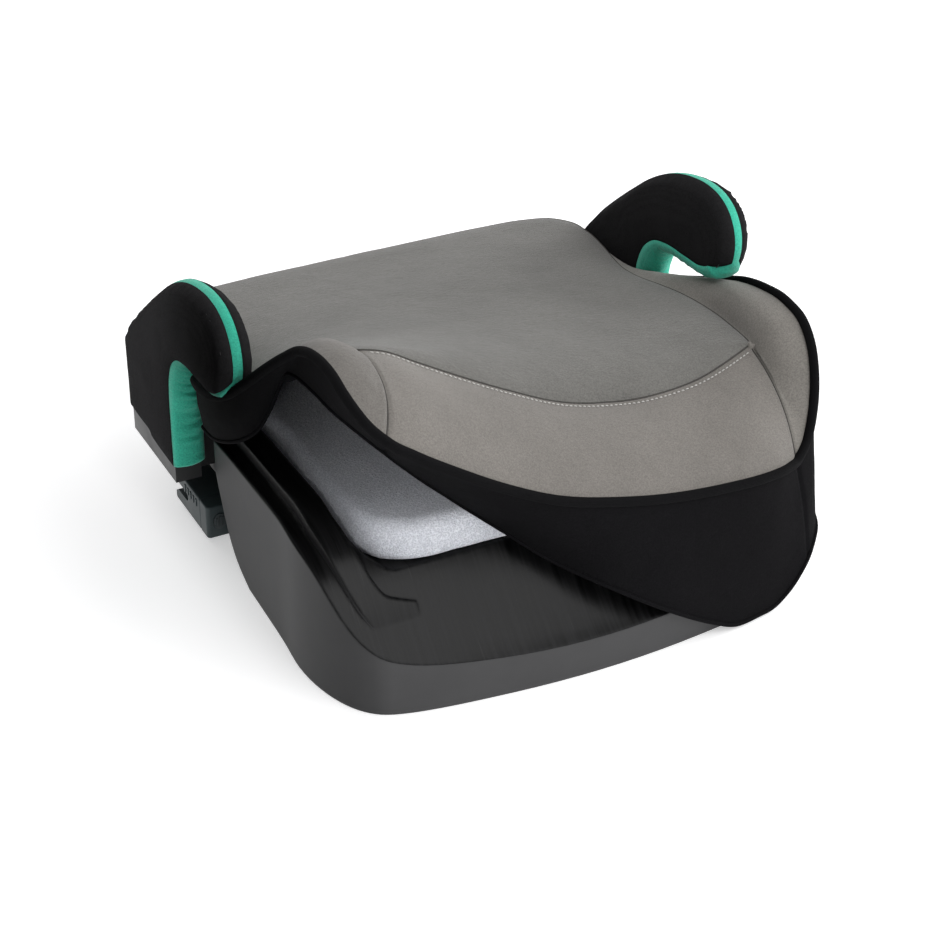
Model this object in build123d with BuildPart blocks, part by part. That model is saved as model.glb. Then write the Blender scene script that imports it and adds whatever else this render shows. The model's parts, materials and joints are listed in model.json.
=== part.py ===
"""Child's booster seat: moulded shell, foam pad, armrests, fitted cover, anchor connectors.

Frame: origin on the ground under the middle of the seat, +Z up, -Y the front of the seat.
"left" is -X and "right" is +X, as seen from the front.
"""
from build123d import *
import math
import os

os.makedirs("parts", exist_ok=True)

SIDES = (("left", -1.0), ("right", 1.0))
HALF_SPAN = 230.0          # side profiles are extruded from -HALF_SPAN to +HALF_SPAN in X
SKY_Z = 230.0              # upper end of the regions above a side profile
UNDER_Z = -20.0            # lower end of the regions below a side profile

# ---------------------------------------------------------------- shell dimensions
WALL = 3.5                 # moulded shell wall
SHELL_TOP_Z = 125.0        # height of the blank before the rim is cut
RECESS_X = 160.0           # half width of the shell behind the side step
STEP_FRONT_Y = 46.0        # where the side step starts
STEP_REAR_Y = 72.0         # where it has reached the narrower rear
REAR_Y = 200.0             # rear wall
CORNER_R = 34.0            # rear corner radius
SWEEP_DEPTH = 40.0         # width in X of the cut that shapes each swept side wall
SWEEP_REAR_Y = 112.0       # rear end of that cut
STEP_SHIFT = 0.6           # how far the rear of a side step moves per mm of offset

RIB_OUTSET = 12.0          # rib band, from the shell outline inwards
RIB_INSET = 30.0
PAN_Z = 84.0               # floor that carries the foam pad
PAN_X = 153.0              # half width of that floor
PAN_Y = 25.0               # middle of that floor
PAN_LENGTH = 350.0
PAN_CORNER_R = 34.0
WEB_Z = 6.0                # lower edge of the cross webs
WEB_T = 3.0

FOAM_T = 29.0              # foam pad
FOAM_GAP = 3.0             # between the pad and the pan's side edges
FOAM_Y = 21.0
FOAM_LENGTH = 336.0
FOAM_CORNER_R = 42.0
FOAM_EDGE_R = 12.0

# Half outline (X, Y) of the shell from the front centre to the side step.
SHELL_FRONT = [
    (0, -206), (50, -204), (97, -199), (127, -194.5), (148, -189.5), (160, -184.5),
    (169, -177), (177, -165), (183.5, -148), (187.5, -128), (188.5, -108), (187, -88),
    (185.5, -60), (184.5, -30), (183.5, 0), (183, STEP_FRONT_Y)]
# Rim height (Y, Z) along the seat: low at the front lip, high at the sides.
RIM = [
    (-220, 22), (-206, 27.5), (-190, 40), (-161, 70), (-136, 92.5), (-105, 100.5),
    (-60, 99.5), (0, 95.5), (60, 92), (215, 88)]
# Height (Y, Z) of the rib inside the rim.
RIB = [
    (-200, 16), (-188, 36), (-176, 52), (-165, 67.5), (-156, 79), (-146, 90.5),
    (-136, 100), (-105, 110.5), (-60, 109), (0, 104.5), (60, 100), (215, 91)]
# Curve (Y, Z) along which each side wall sweeps up towards the armrest, outside and inside.
SWEEP_OUTSIDE = [
    (-14, -1), (-4, 2.5), (8, 7.5), (19, 15.5), (28, 27), (36, 42), (43, 58), (50, 76), (57, 96)]
SWEEP_INSIDE = [
    (-27, -1), (-15.2, 2.3), (-5.3, 5.8), (6.6, 10.8), (17, 18.5), (25.3, 29.3),
    (32.8, 43.8), (39.7, 59.5), (46.6, 77.5), (53, 97)]

# ---------------------------------------------------------------- armrest dimensions
ARM_X0, ARM_X1 = 183.0, 203.0      # armrest core between these planes
GUSSET_X0, GUSSET_X1 = 191.0, 197.0
SLEEVE_GAP = 0.6
SLEEVE_T = 2.6
SLEEVE_HEM_Z = 64.0        # the sleeve is open below this height
SLEEVE_FOOT_Z = 86.0       # top of the sleeve's cutaway for the foot
SLEEVE_CUT_Z = 40.0        # where both sleeve cuts start
FOOT_Y, FOOT_LENGTH = 118.0, 76.0
FOOT_Z, FOOT_HEIGHT = 52.0, 30.0
FOOT_OVERLAP = 2.0         # how far the foot runs into the core
SCREW_YS = (92.0, 140.0)
SCREW_Z = 67.0
SCREW_R = 2.0
SCREW_LENGTH = 17.0
SCREW_HEAD_R, SCREW_HEAD_T = 4.5, 3.0
SHELL_HOLE_R = 2.6
CORE_HOLE_R, CORE_HOLE_DEPTH = 2.05, 20.0

# Side profile (Y, Z) of the armrest core: a foot, a column and a hook pointing forwards.
ARM = [
    (166, 46), (166, 124), (146, 145), (120, 167.5), (98, 185), (78, 200), (58, 212),
    (40, 220), (18, 226), (-2, 228), (-16, 226), (-27, 220), (-34, 210), (-36, 198),
    (-33, 186), (-26, 177), (-14, 171.5), (8, 169.5), (34, 168), (52, 163), (64, 153),
    (71, 139), (75, 112), (76, 46)]

# ---------------------------------------------------------------- cover dimensions
COVER_T = 5.0              # padded panels and piping
SKIRT_T = 2.5              # unpadded skirt
PIPE_R = 3.5               # half height of the piping band
COVER_Z0, COVER_HEIGHT = 5.0, 165.0
COVER_INNER_TOP = 160.0    # height of the inner blank before it is trimmed
COVER_REAR_X = 174.0       # half width behind the side step
COVER_STEP_Y = 64.0        # rear end of the side step
COVER_REAR_Y = 209.0
COVER_CORNER_R = 40.0
COVER_CUT_Z = -10.0        # where cuts through the cover start
OPENING_X, OPENING_WIDTH = 185.0, 60.0     # openings in the sides of the cover
# Each opening: middle in Y, length in Y, height.
COVER_OPENINGS = (
    (111.0, 122.0, 100.0),     # around the armrest foot
    (140.0, 180.0, 48.0))      # rearward travel of the connector
# Each piece: name, thickness, lower and upper limit measured from the piping line.
COVER_PIECES = (
    ("panel", COVER_T, PIPE_R, None),
    ("piping", COVER_T, -PIPE_R, PIPE_R),
    ("skirt", SKIRT_T, None, -PIPE_R))
FLAP_REAR = (-205.0, 48.0, 152.0)      # rear end of the fold line
FLAP_FRONT = (125.0, -197.0, 148.0)    # front end of the fold line
FLAP_REST_DEG = 42.0       # how far the front corner is folded back
FLAP_GAP = 3.0
STRIP_X, STRIP_Y = -174.0, -76.0       # corner of the fixed strip under the armrest hook

# Half outline (X, Y) of the fitted cover.
COVER_FRONT = [
    (0, -214), (50, -212), (97, -207), (128, -202), (150, -196), (166, -188), (179, -176),
    (189, -160), (196, -142), (200, -122), (202, -98), (202.5, -70), (202, -40), (201, -10),
    (200, 14), (199.5, 30)]
# Top of the fitted cover (Y, Z) and the line of its piping (Y, Z).
CROWN = [
    (-214, 96), (-205, 106), (-194, 114), (-176, 124), (-150, 136), (-120, 146), (-80, 148),
    (-30, 147), (30, 144), (100, 138), (160, 132), (200, 127), (222, 118)]
PIPE = [
    (-216, 92), (-190, 95), (-170, 99), (-145, 110), (-110, 126), (-60, 134), (0, 134),
    (40, 132), (100, 122), (160, 114), (214, 108)]

# ---------------------------------------------------------------- connector dimensions
CONN_X = 176.0             # centre plane of each anchor connector
CONN_W = 25.0
CONN_Z0, CONN_Z1 = 4.0, 31.0
CONN_Y0, CONN_Y1 = 56.0, 122.0
CONN_HEIGHT = CONN_Z1 - CONN_Z0
CONN_MID_Z = (CONN_Z0 + CONN_Z1) / 2
CAP_L = 14.0               # length of the front cap
CAP_GAP = 0.4              # shortening of the cap block
HOUSING_Y0 = CONN_Y0 + CAP_L
TRAVEL = 80.0              # rearward travel of the connectors
BAR_Y, BAR_Z = 80.0, 15.0  # cross bar centre
BAR_R = 5.0
BAR_END_X = CONN_X - 4
SLOT_Y = BAR_Y + TRAVEL / 2
RAIL_X = 138.0             # centre plane of each guide rail
RAIL_T = 12.0
RAIL_Z0, RAIL_Z1 = 4.0, PAN_Z - WALL
MOUTH_R = 3.5              # half height of the anchor mouth
MOUTH_FLARE = 7.5          # half height where the mouth opens to the rear
MOUTH_DEPTH = 23.0
FLARE_DEPTH = 6.0
JAW_SLOT_T = 3.6
JAW_T = 3.0
JAW_PIN_YZ = (92, 25.0)
JAW_PIN_R = 2.0
JAW_PIN_LENGTH = 10.0
JAW_EYE_R = 4.2
GRIP_COUNT, GRIP_PITCH = 5, 5.5
BUTTON_RX, BUTTON_RZ = 5.2, 6.4
BUTTON_OFFSET = 2.5        # outwards from the connector's centre plane
BUTTON_PROUD = 0.5         # how far the button stands out of the cap
BUTTON_LENGTH = 8.0
BUTTON_CLEARANCE = 0.25
CAP_SLOT_INSET = 8.0       # inwards from the connector's centre plane
CAP_CUT_START = 1.0        # cuts in the cap start this far in front of it
# Slots in the front of the cap: Z, width, height.
CAP_SLOTS = ((26.2, 6.0, 2.6), (9.0, 5.0, 3.4))
# Jaw blade outline (Y, Z).
JAW_OUTLINE = [
    (91, 26.4), (108, 26.0), (116, 22.6), (117.5, 15.0), (113.5, 15.0), (112.0, 21.4),
    (91, 21.4), (91, 26.4)]


def save(part, name):
    part.label = name
    export_step(part, f"parts/{name}.step")


# ---------------------------------------------------------------- outlines and regions
# The helpers that end in make_face add their face to the sketch that calls them.
def offset_points(points, offset):
    """Push a half outline outwards along its own normals."""
    moved = []
    for i, (x, y) in enumerate(points):
        x0, y0 = points[max(i - 1, 0)]
        x1, y1 = points[min(i + 1, len(points) - 1)]
        if i == 0:  # the neighbour across the centre line
            x0, y0 = -points[1][0], points[1][1]
        run_x, run_y = x1 - x0, y1 - y0
        length = math.hypot(run_x, run_y)
        moved.append((x + offset * run_y / length, y - offset * run_x / length))
    return moved


def closed_outline(half, offset, rear_x, step_y, rear_y, radius):
    """Closed plan: a smooth front and sides, a step inwards, and a rounded rear."""
    right = offset_points(half, offset)
    left = [(-x, y) for x, y in reversed(right[1:])]
    side_x, side_y = right[-1]
    wall_x = rear_x + offset
    back_y = rear_y + offset
    arc_x = wall_x - radius
    arc_y = back_y - radius
    with BuildLine() as edge:
        Spline(*(left + right))
        Polyline((side_x, side_y), (wall_x, step_y), (wall_x, arc_y))
        RadiusArc((wall_x, arc_y), (arc_x, back_y), -radius)
        Line((arc_x, back_y), (-arc_x, back_y))
        RadiusArc((-arc_x, back_y), (-wall_x, arc_y), -radius)
        Polyline((-wall_x, arc_y), (-wall_x, step_y), (-side_x, side_y))
    make_face(edge.edges())


def shell_outline(offset):
    step_y = STEP_REAR_Y + offset * STEP_SHIFT
    closed_outline(SHELL_FRONT, offset, RECESS_X, step_y, REAR_Y, CORNER_R)


def cover_outline(offset):
    step_y = COVER_STEP_Y - STEP_SHIFT * abs(offset)
    closed_outline(COVER_FRONT, offset, COVER_REAR_X, step_y, COVER_REAR_Y, COVER_CORNER_R)


def behind(curve):
    """Region behind a curve drawn in the YZ plane."""
    with BuildLine() as edge:
        Spline(*curve)
        Polyline(curve[-1], (SWEEP_REAR_Y, curve[-1][1]), (SWEEP_REAR_Y, curve[0][1]), curve[0])
    make_face(edge.edges())


def profile_to_level(profile, dz, level):
    """Region between a raised side profile and a level, drawn in the YZ plane."""
    with BuildLine() as edge:
        Spline(*[(y, z + dz) for y, z in profile])
        y0, z0 = profile[0]
        y1, z1 = profile[-1]
        Polyline((y1, z1 + dz), (y1, level), (y0, level), (y0, z0 + dz))
    make_face(edge.edges())


def extrude_across(profile, dz, level, mode):
    """Extrude a profile region over the full width, in the calling part."""
    with BuildSketch(Plane.YZ.offset(-HALF_SPAN)) as region:
        profile_to_level(profile, dz, level)
    return extrude(region.sketch, amount=2 * HALF_SPAN, mode=mode)


def cut_above(profile, dz=0.0):
    extrude_across(profile, dz, SKY_Z, Mode.SUBTRACT)


def cut_below(profile, dz=0.0):
    extrude_across(profile, dz, UNDER_Z, Mode.SUBTRACT)


def solid_below(profile, dz=0.0):
    return extrude_across(profile, dz, UNDER_Z, Mode.PRIVATE)


# ---------------------------------------------------------------- shell and foam
def build_seat_shell():
    with BuildPart() as shell:
        with BuildSketch(Plane.XY):
            shell_outline(0)
        extrude(amount=SHELL_TOP_Z)
        cut_above(RIM)

        # the side walls sweep up clear of the connectors
        for start_x in (RECESS_X, -RECESS_X - SWEEP_DEPTH):
            with BuildSketch(Plane.YZ.offset(start_x)):
                behind(SWEEP_OUTSIDE)
            extrude(amount=SWEEP_DEPTH, mode=Mode.SUBTRACT)

        # rib along each side of the deck, left off at the front middle and the rear
        with BuildSketch(Plane.XY):
            shell_outline(-RIB_OUTSET)
            with BuildSketch(mode=Mode.PRIVATE) as rib_inner:
                shell_outline(-RIB_INSET)
            add(rib_inner.sketch, mode=Mode.SUBTRACT)
            with Locations((0, -215)):
                Rectangle(250, 116, mode=Mode.SUBTRACT)
            with Locations((0, 190)):
                Rectangle(420, 200, mode=Mode.SUBTRACT)
        rib = extrude(amount=SHELL_TOP_Z, mode=Mode.PRIVATE)
        rib = rib & solid_below(RIB)
        # guards the rounding of the rib: if the fillet fails, the rib stays as it is
        try:
            tops = [edge for edge in rib.edges()
                    if edge.center().Z > 50 and edge.bounding_box().size.Y > 90
                    and edge.bounding_box().size.Z < 90]
            rib = fillet(tops, radius=5.0)
        except Exception:
            pass
        add(rib)

        # floor for the foam pad
        with BuildSketch(Plane.XY.offset(PAN_Z)):
            with Locations((0, PAN_Y)):
                RectangleRounded(2 * PAN_X, PAN_LENGTH, PAN_CORNER_R)
        extrude(amount=80, mode=Mode.SUBTRACT)

        # hollow underside below the pan
        with BuildSketch(Plane.XY):
            shell_outline(-WALL)
        hollow = extrude(amount=PAN_Z - WALL, mode=Mode.PRIVATE)
        hollow = hollow & solid_below(RIM, -WALL - 1.5)
        inner_depth = SWEEP_DEPTH + 4
        for start_x in (RECESS_X - WALL, -RECESS_X + WALL - inner_depth):
            with BuildSketch(Plane.YZ.offset(start_x), mode=Mode.PRIVATE) as swept:
                behind(SWEEP_INSIDE)
            hollow = hollow - extrude(swept.sketch, amount=inner_depth, mode=Mode.PRIVATE)
        add(hollow, mode=Mode.SUBTRACT)

        # cross webs moulded under the deck
        with BuildSketch(Plane.XY.offset(WEB_Z)):
            with Locations((0, -40), (0, -120)):
                Rectangle(420, WEB_T)
            with Locations((0, -80), (-70, -80), (70, -80)):
                Rectangle(WEB_T, 80)
        webs = extrude(amount=PAN_Z - WEB_Z, mode=Mode.PRIVATE)
        with BuildSketch(Plane.XY, mode=Mode.PRIVATE) as web_plan:
            shell_outline(-1)
        web_limit = extrude(web_plan.sketch, amount=100, mode=Mode.PRIVATE)
        web_roof = solid_below(RIM, -2.5)
        add(webs & web_limit & web_roof)

        # slots in the recessed side walls for the cross bar
        with BuildSketch(Plane.YZ.offset(-200)):
            with Locations((SLOT_Y, BAR_Z)):
                SlotOverall(TRAVEL + 2 * BAR_R + 6, 2 * BAR_R + 3)
        extrude(amount=400, mode=Mode.SUBTRACT)
        # through holes for the armrest screws
        for y in SCREW_YS:
            with BuildSketch(Plane.YZ.offset(-200)):
                with Locations((y, SCREW_Z)):
                    Circle(SHELL_HOLE_R)
            extrude(amount=400, mode=Mode.SUBTRACT)
    save(shell.part, "seat_shell")


def build_foam_pad():
    with BuildPart() as pad:
        with BuildSketch(Plane.XY.offset(PAN_Z)):
            with Locations((0, FOAM_Y)):
                RectangleRounded(2 * (PAN_X - FOAM_GAP), FOAM_LENGTH, FOAM_CORNER_R)
        extrude(amount=FOAM_T)
        fillet(pad.edges().group_by(Axis.Z)[-1], radius=FOAM_EDGE_R)
    save(pad.part, "foam_pad")


# ---------------------------------------------------------------- armrests
def arm_profile(growth):
    """The armrest profile, grown all round."""
    points = []
    count = len(ARM)
    for i, (y, z) in enumerate(ARM):
        y0, z0 = ARM[i - 1]
        y1, z1 = ARM[(i + 1) % count]
        before = math.hypot(y - y0, z - z0)
        after = math.hypot(y1 - y, z1 - z)
        # sum of the unit directions of the two neighbouring sides
        sum_y = (y - y0) / before + (y1 - y) / after
        sum_z = (z - z0) / before + (z1 - z) / after
        length = math.hypot(sum_y, sum_z)
        shift = growth * 2 / length
        points.append((y + shift * sum_z / length, z - shift * sum_y / length))
    with BuildLine() as edge:
        Polyline(points[-2], points[-1], points[0], points[1])
        Spline(*points[1:-1])
    make_face(edge.edges())


def build_armrest_core(side, sign):
    with BuildPart() as core:
        with BuildSketch(Plane.YZ.offset(ARM_X0 if sign > 0 else -ARM_X1)):
            arm_profile(0)
        extrude(amount=ARM_X1 - ARM_X0)
        chamfer([edge for edge in core.edges() if edge.bounding_box().size.X < 0.1
                 and edge.bounding_box().size.Z > 30 and edge.center().Y > 150], length=2)
        # foot that reaches in to the shell's recessed wall
        foot_end_x = ARM_X0 + FOOT_OVERLAP
        with BuildSketch(Plane.XY.offset(FOOT_Z)):
            with Locations((sign * (RECESS_X + foot_end_x) / 2, FOOT_Y)):
                Rectangle(foot_end_x - RECESS_X, FOOT_LENGTH)
        extrude(amount=FOOT_HEIGHT)
        for y in SCREW_YS:
            with BuildSketch(Plane.YZ.offset(sign * RECESS_X)):
                with Locations((y, SCREW_Z)):
                    Circle(CORE_HOLE_R)
            extrude(amount=sign * CORE_HOLE_DEPTH, mode=Mode.SUBTRACT)
    save(core.part, "armrest_core_" + side)


def sleeve_body(sign, x_from, x_to, cap_from, cap_to):
    """Slice of the sleeve between two X distances, closed by a cap where one is given."""
    low, high = sorted((sign * x_from, sign * x_to))
    with BuildSketch(Plane.YZ.offset(low)) as outer:
        arm_profile(SLEEVE_GAP + SLEEVE_T)
    extrude(outer.sketch, amount=high - low)
    low, high = sorted((sign * (x_from + cap_from), sign * (x_to - cap_to)))
    with BuildSketch(Plane.YZ.offset(low)) as cavity:
        arm_profile(SLEEVE_GAP)
    extrude(cavity.sketch, amount=high - low, mode=Mode.SUBTRACT)
    # open at the bottom, and cut away on the inside for the foot
    with BuildSketch(Plane.XY.offset(SLEEVE_CUT_Z)) as hem:
        with Locations((sign * 190, 120)):
            Rectangle(80, 140)
    extrude(hem.sketch, amount=SLEEVE_HEM_Z - SLEEVE_CUT_Z, mode=Mode.SUBTRACT)
    with BuildSketch(Plane.XY.offset(SLEEVE_CUT_Z)) as foot:
        with Locations((sign * 160, FOOT_Y)):
            Rectangle(60, FOOT_LENGTH + 20)
    extrude(foot.sketch, amount=SLEEVE_FOOT_Z - SLEEVE_CUT_Z, mode=Mode.SUBTRACT)


def build_sleeve(side, sign):
    """Fabric sleeve in three parts: inner panel, gusset and outer panel."""
    inner_x = ARM_X0 - SLEEVE_GAP - SLEEVE_T
    outer_x = ARM_X1 + SLEEVE_GAP + SLEEVE_T
    # name, start and end in X, cap thickness at each
    for name, x_from, x_to, cap_from, cap_to in (
            ("armrest_sleeve_inner_", inner_x, GUSSET_X0, SLEEVE_T, 0.0),
            ("armrest_gusset_", GUSSET_X0, GUSSET_X1, 0.0, 0.0),
            ("armrest_sleeve_outer_", GUSSET_X1, outer_x, 0.0, SLEEVE_T)):
        with BuildPart() as sleeve:
            sleeve_body(sign, x_from, x_to, cap_from, cap_to)
        save(sleeve.part, name + side)


def build_armrest_screws():
    with BuildPart() as screws:
        for _, sign in SIDES:
            for y in SCREW_YS:
                # head inside the shell wall, shank running outwards
                for radius, length in ((SCREW_HEAD_R, -SCREW_HEAD_T), (SCREW_R, SCREW_LENGTH)):
                    with BuildSketch(Plane.YZ.offset(sign * (RECESS_X - WALL))):
                        with Locations((y, SCREW_Z)):
                            Circle(radius)
                    extrude(amount=sign * length)
    save(screws.part, "armrest_screws")


# ---------------------------------------------------------------- cover
def flap_region(gap):
    """Plan region of the moving front left corner, kept gap away from the fold line."""
    rear_x, rear_y = FLAP_REAR[:2]
    front_x, front_y = FLAP_FRONT[:2]
    length = math.hypot(rear_x - front_x, rear_y - front_y)
    along_x, along_y = (rear_x - front_x) / length, (rear_y - front_y) / length
    # a point on the fold line, moved by the gap towards the corner
    line_x = front_x - along_y * gap
    line_y = front_y + along_x * gap
    start = (line_x - 60 * along_x, line_y - 60 * along_y)
    # the strip under the armrest hook stays with the fixed part
    strip_x = STRIP_X + 3.4 * gap
    end_y = line_y + along_y * (strip_x - line_x) / along_x
    strip_y = STRIP_Y - gap
    with BuildLine() as edge:
        Polyline(start, (strip_x, end_y), (strip_x, strip_y), (-260, strip_y),
                 (-260, -320), (start[0], -320), start)
    make_face(edge.edges())


def cover_body(thickness):
    with BuildSketch(Plane.XY.offset(COVER_Z0)) as plan:
        cover_outline(0)
    extrude(plan.sketch, amount=COVER_HEIGHT)
    cut_above(CROWN)
    with BuildSketch(Plane.XY) as inner_plan:
        cover_outline(-thickness)
    inner = extrude(inner_plan.sketch, amount=COVER_INNER_TOP, mode=Mode.PRIVATE)
    limit = solid_below(CROWN, -thickness - 2)
    add(inner & limit, mode=Mode.SUBTRACT)
    for middle_y, length, height in COVER_OPENINGS:
        with BuildSketch(Plane.XY.offset(COVER_CUT_Z)) as opening:
            with Locations((-OPENING_X, middle_y), (OPENING_X, middle_y)):
                Rectangle(OPENING_WIDTH, length)
        extrude(opening.sketch, amount=height, mode=Mode.SUBTRACT)


def build_cover():
    """Each cover piece is made twice: the fixed seat part and the folded front corner."""
    fold_direction = Vector(*FLAP_REAR) - Vector(*FLAP_FRONT)
    fold_axis = Axis(origin=FLAP_FRONT, direction=tuple(fold_direction))
    for where, gap, mode in (("seat", 0, Mode.SUBTRACT), ("flap", FLAP_GAP, Mode.INTERSECT)):
        for piece, thickness, low, high in COVER_PIECES:
            with BuildPart() as cover:
                cover_body(thickness)
                if high is not None:
                    cut_above(PIPE, high)
                if low is not None:
                    cut_below(PIPE, low)
                with BuildSketch(Plane.XY.offset(COVER_CUT_Z)):
                    flap_region(gap)
                extrude(amount=260, mode=mode)
            solid = cover.part
            if where == "flap":
                solid = solid.rotate(fold_axis, FLAP_REST_DEG)
            save(solid, f"cover_{where}_{piece}")


# ---------------------------------------------------------------- anchor connectors
def build_cross_bar():
    with BuildPart() as bar:
        with BuildSketch(Plane.YZ.offset(-BAR_END_X)):
            with Locations((BAR_Y, BAR_Z)):
                Circle(BAR_R)
        extrude(amount=2 * BAR_END_X)
    save(bar.part, "cross_bar")


def build_guide_rail(side, sign):
    with BuildPart() as rail:
        with BuildSketch(Plane.YZ.offset(sign * RAIL_X - RAIL_T / 2)):
            with Locations((SLOT_Y, (RAIL_Z0 + RAIL_Z1) / 2)):
                Rectangle(TRAVEL + 30, RAIL_Z1 - RAIL_Z0)
            with Locations((SLOT_Y, BAR_Z)):
                SlotOverall(TRAVEL + 2 * BAR_R + 1, 2 * BAR_R + 0.16, mode=Mode.SUBTRACT)
            with Locations((SLOT_Y, 52)):
                Rectangle(TRAVEL, 30, mode=Mode.SUBTRACT)
        extrude(amount=RAIL_T)
        fillet(rail.edges().filter_by(Axis.X).group_by(Axis.Z)[0], radius=2)
    save(rail.part, "guide_rail_" + side)


def build_housing(side, sign):
    """Rear housing of the connector, with the anchor mouth."""
    start_x = sign * CONN_X - CONN_W / 2
    with BuildPart() as housing:
        with BuildSketch(Plane.YZ.offset(start_x)):
            with Locations(((HOUSING_Y0 + CONN_Y1) / 2, CONN_MID_Z)):
                RectangleRounded(CONN_Y1 - HOUSING_Y0, CONN_HEIGHT, 3)
        extrude(amount=CONN_W)
        fillet([edge for edge in housing.edges() if edge.bounding_box().size.X < 0.1
                and edge.length > 15], radius=1.5)
        # mouth for the anchor bar, open to the rear
        with BuildSketch(Plane.YZ.offset(start_x)):
            with Locations((CONN_Y1 - MOUTH_DEPTH + 12, CONN_MID_Z)):
                Rectangle(24, 2 * MOUTH_R)
            with Locations((CONN_Y1 - MOUTH_DEPTH, CONN_MID_Z)):
                Circle(MOUTH_R)
        extrude(amount=CONN_W, mode=Mode.SUBTRACT)
        # flare at the mouth's rear end
        flare_y, open_y = CONN_Y1 - FLARE_DEPTH, CONN_Y1 + 0.1
        with BuildSketch(Plane.YZ.offset(start_x)):
            with BuildLine():
                Polyline((flare_y, CONN_MID_Z + MOUTH_R), (open_y, CONN_MID_Z + MOUTH_FLARE),
                         (open_y, CONN_MID_Z - MOUTH_FLARE), (flare_y, CONN_MID_Z - MOUTH_R),
                         (flare_y, CONN_MID_Z + MOUTH_R))
            make_face()
        extrude(amount=CONN_W, mode=Mode.SUBTRACT)
        # bore for the cross bar end, blade slot for the jaw and hole for its pin
        bore_x = CONN_X - CONN_W / 2 - 1
        with BuildSketch(Plane.YZ.offset(sign * bore_x)):
            with Locations((BAR_Y, BAR_Z)):
                Circle(BAR_R)
        extrude(amount=sign * (BAR_END_X - bore_x), mode=Mode.SUBTRACT)
        with BuildSketch(Plane.YZ.offset(sign * CONN_X - JAW_SLOT_T / 2)):
            with Locations((CONN_Y1 - 22, 22)):
                Rectangle(60, 15.4)
        extrude(amount=JAW_SLOT_T, mode=Mode.SUBTRACT)
        with BuildSketch(Plane.YZ.offset(sign * CONN_X - JAW_PIN_LENGTH / 2)):
            with Locations(JAW_PIN_YZ):
                Circle(JAW_PIN_R)
        extrude(amount=JAW_PIN_LENGTH, mode=Mode.SUBTRACT)
        # grip field on the outer side
        for k in range(GRIP_COUNT):
            with BuildSketch(Plane.YZ.offset(sign * (CONN_X + CONN_W / 2 - 0.2))):
                with Locations((HOUSING_Y0 + 8 + GRIP_PITCH * k, 24)):
                    RectangleRounded(2.4, 6.5, 1.0)
            extrude(amount=sign * 0.8)
    save(housing.part, "connector_housing_" + side)


# Plane.XZ faces -Y, so a negative amount below extrudes to the rear.
def build_cap(side, sign):
    """Front cap of the connector, with the thumb-button hole and two slots."""
    with BuildPart() as cap:
        with BuildSketch(Plane.YZ.offset(sign * CONN_X - CONN_W / 2)):
            with Locations((CONN_Y0 + CAP_L / 2, CONN_MID_Z)):
                Rectangle(CAP_L - CAP_GAP, CONN_HEIGHT)
        extrude(amount=CONN_W)
        fillet(cap.edges().filter_by(Axis.Z).group_by(Axis.Y)[0], radius=3)
        fillet(cap.edges().group_by(Axis.Y)[0], radius=1.2)
        with BuildSketch(Plane.XZ.offset(-CONN_Y0 + CAP_CUT_START)):
            with Locations((sign * (CONN_X + BUTTON_OFFSET), CONN_MID_Z)):
                Ellipse(BUTTON_RX + BUTTON_CLEARANCE, BUTTON_RZ + BUTTON_CLEARANCE)
        extrude(amount=-(CAP_L + 2), mode=Mode.SUBTRACT)
        with BuildSketch(Plane.XZ.offset(-CONN_Y0 + CAP_CUT_START)):
            for z, width, height in CAP_SLOTS:
                with Locations((sign * (CONN_X - CAP_SLOT_INSET), z)):
                    RectangleRounded(width, height, 0.8)
        extrude(amount=-6, mode=Mode.SUBTRACT)
    save(cap.part, "connector_cap_" + side)


def build_button(side, sign):
    """Oval thumb button with a blind bore from the rear and three ribs on its front."""
    button_x = sign * (CONN_X + BUTTON_OFFSET)
    with BuildPart() as button:
        with BuildSketch(Plane.XZ.offset(-CONN_Y0 + BUTTON_PROUD)):
            with Locations((button_x, CONN_MID_Z)):
                Ellipse(BUTTON_RX, BUTTON_RZ)
        extrude(amount=-BUTTON_LENGTH)
        with BuildSketch(Plane.XZ.offset(-CONN_Y0 - 1.5)):
            with Locations((button_x, CONN_MID_Z)):
                Circle(3.2)
        extrude(amount=-7.0, mode=Mode.SUBTRACT)
        for k in (-1, 0, 1):
            with BuildSketch(Plane.XZ.offset(-CONN_Y0 + BUTTON_PROUD)):
                with Locations((button_x + 2.6 * k, CONN_MID_Z)):
                    RectangleRounded(1.2, 9.0 - 2.4 * abs(k), 0.55)
            extrude(amount=0.9)
    save(button.part, "release_button_" + side)


def build_jaw(side, sign):
    """Steel jaw that closes over the anchor bar, and its pin."""
    with BuildPart() as jaw:
        with BuildSketch(Plane.YZ.offset(sign * CONN_X - JAW_T / 2)):
            with BuildLine():
                Polyline(*JAW_OUTLINE)
            make_face()
            with Locations(JAW_PIN_YZ):
                Circle(JAW_EYE_R)
            with Locations(JAW_PIN_YZ):
                Circle(JAW_PIN_R + 0.05, mode=Mode.SUBTRACT)
        extrude(amount=JAW_T)
    save(jaw.part, "jaw_" + side)

    with BuildPart() as pin:
        with BuildSketch(Plane.YZ.offset(sign * CONN_X - JAW_PIN_LENGTH / 2)):
            with Locations(JAW_PIN_YZ):
                Circle(JAW_PIN_R)
        extrude(amount=JAW_PIN_LENGTH)
    save(pin.part, "jaw_pin_" + side)


def build_spring(side, sign):
    """Return spring behind the button."""
    with BuildPart() as spring:
        with BuildLine() as coil:
            Helix(pitch=1.6, height=7.1, radius=2.4, direction=(0, 1, 0),
                  center=(sign * (CONN_X + BUTTON_OFFSET), CONN_Y0 + 6.4, CONN_MID_Z))
        with BuildSketch(Plane(origin=coil.line @ 0, z_dir=coil.line % 0)):
            Circle(0.35)
        sweep()
    save(spring.part, "button_spring_" + side)


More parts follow.
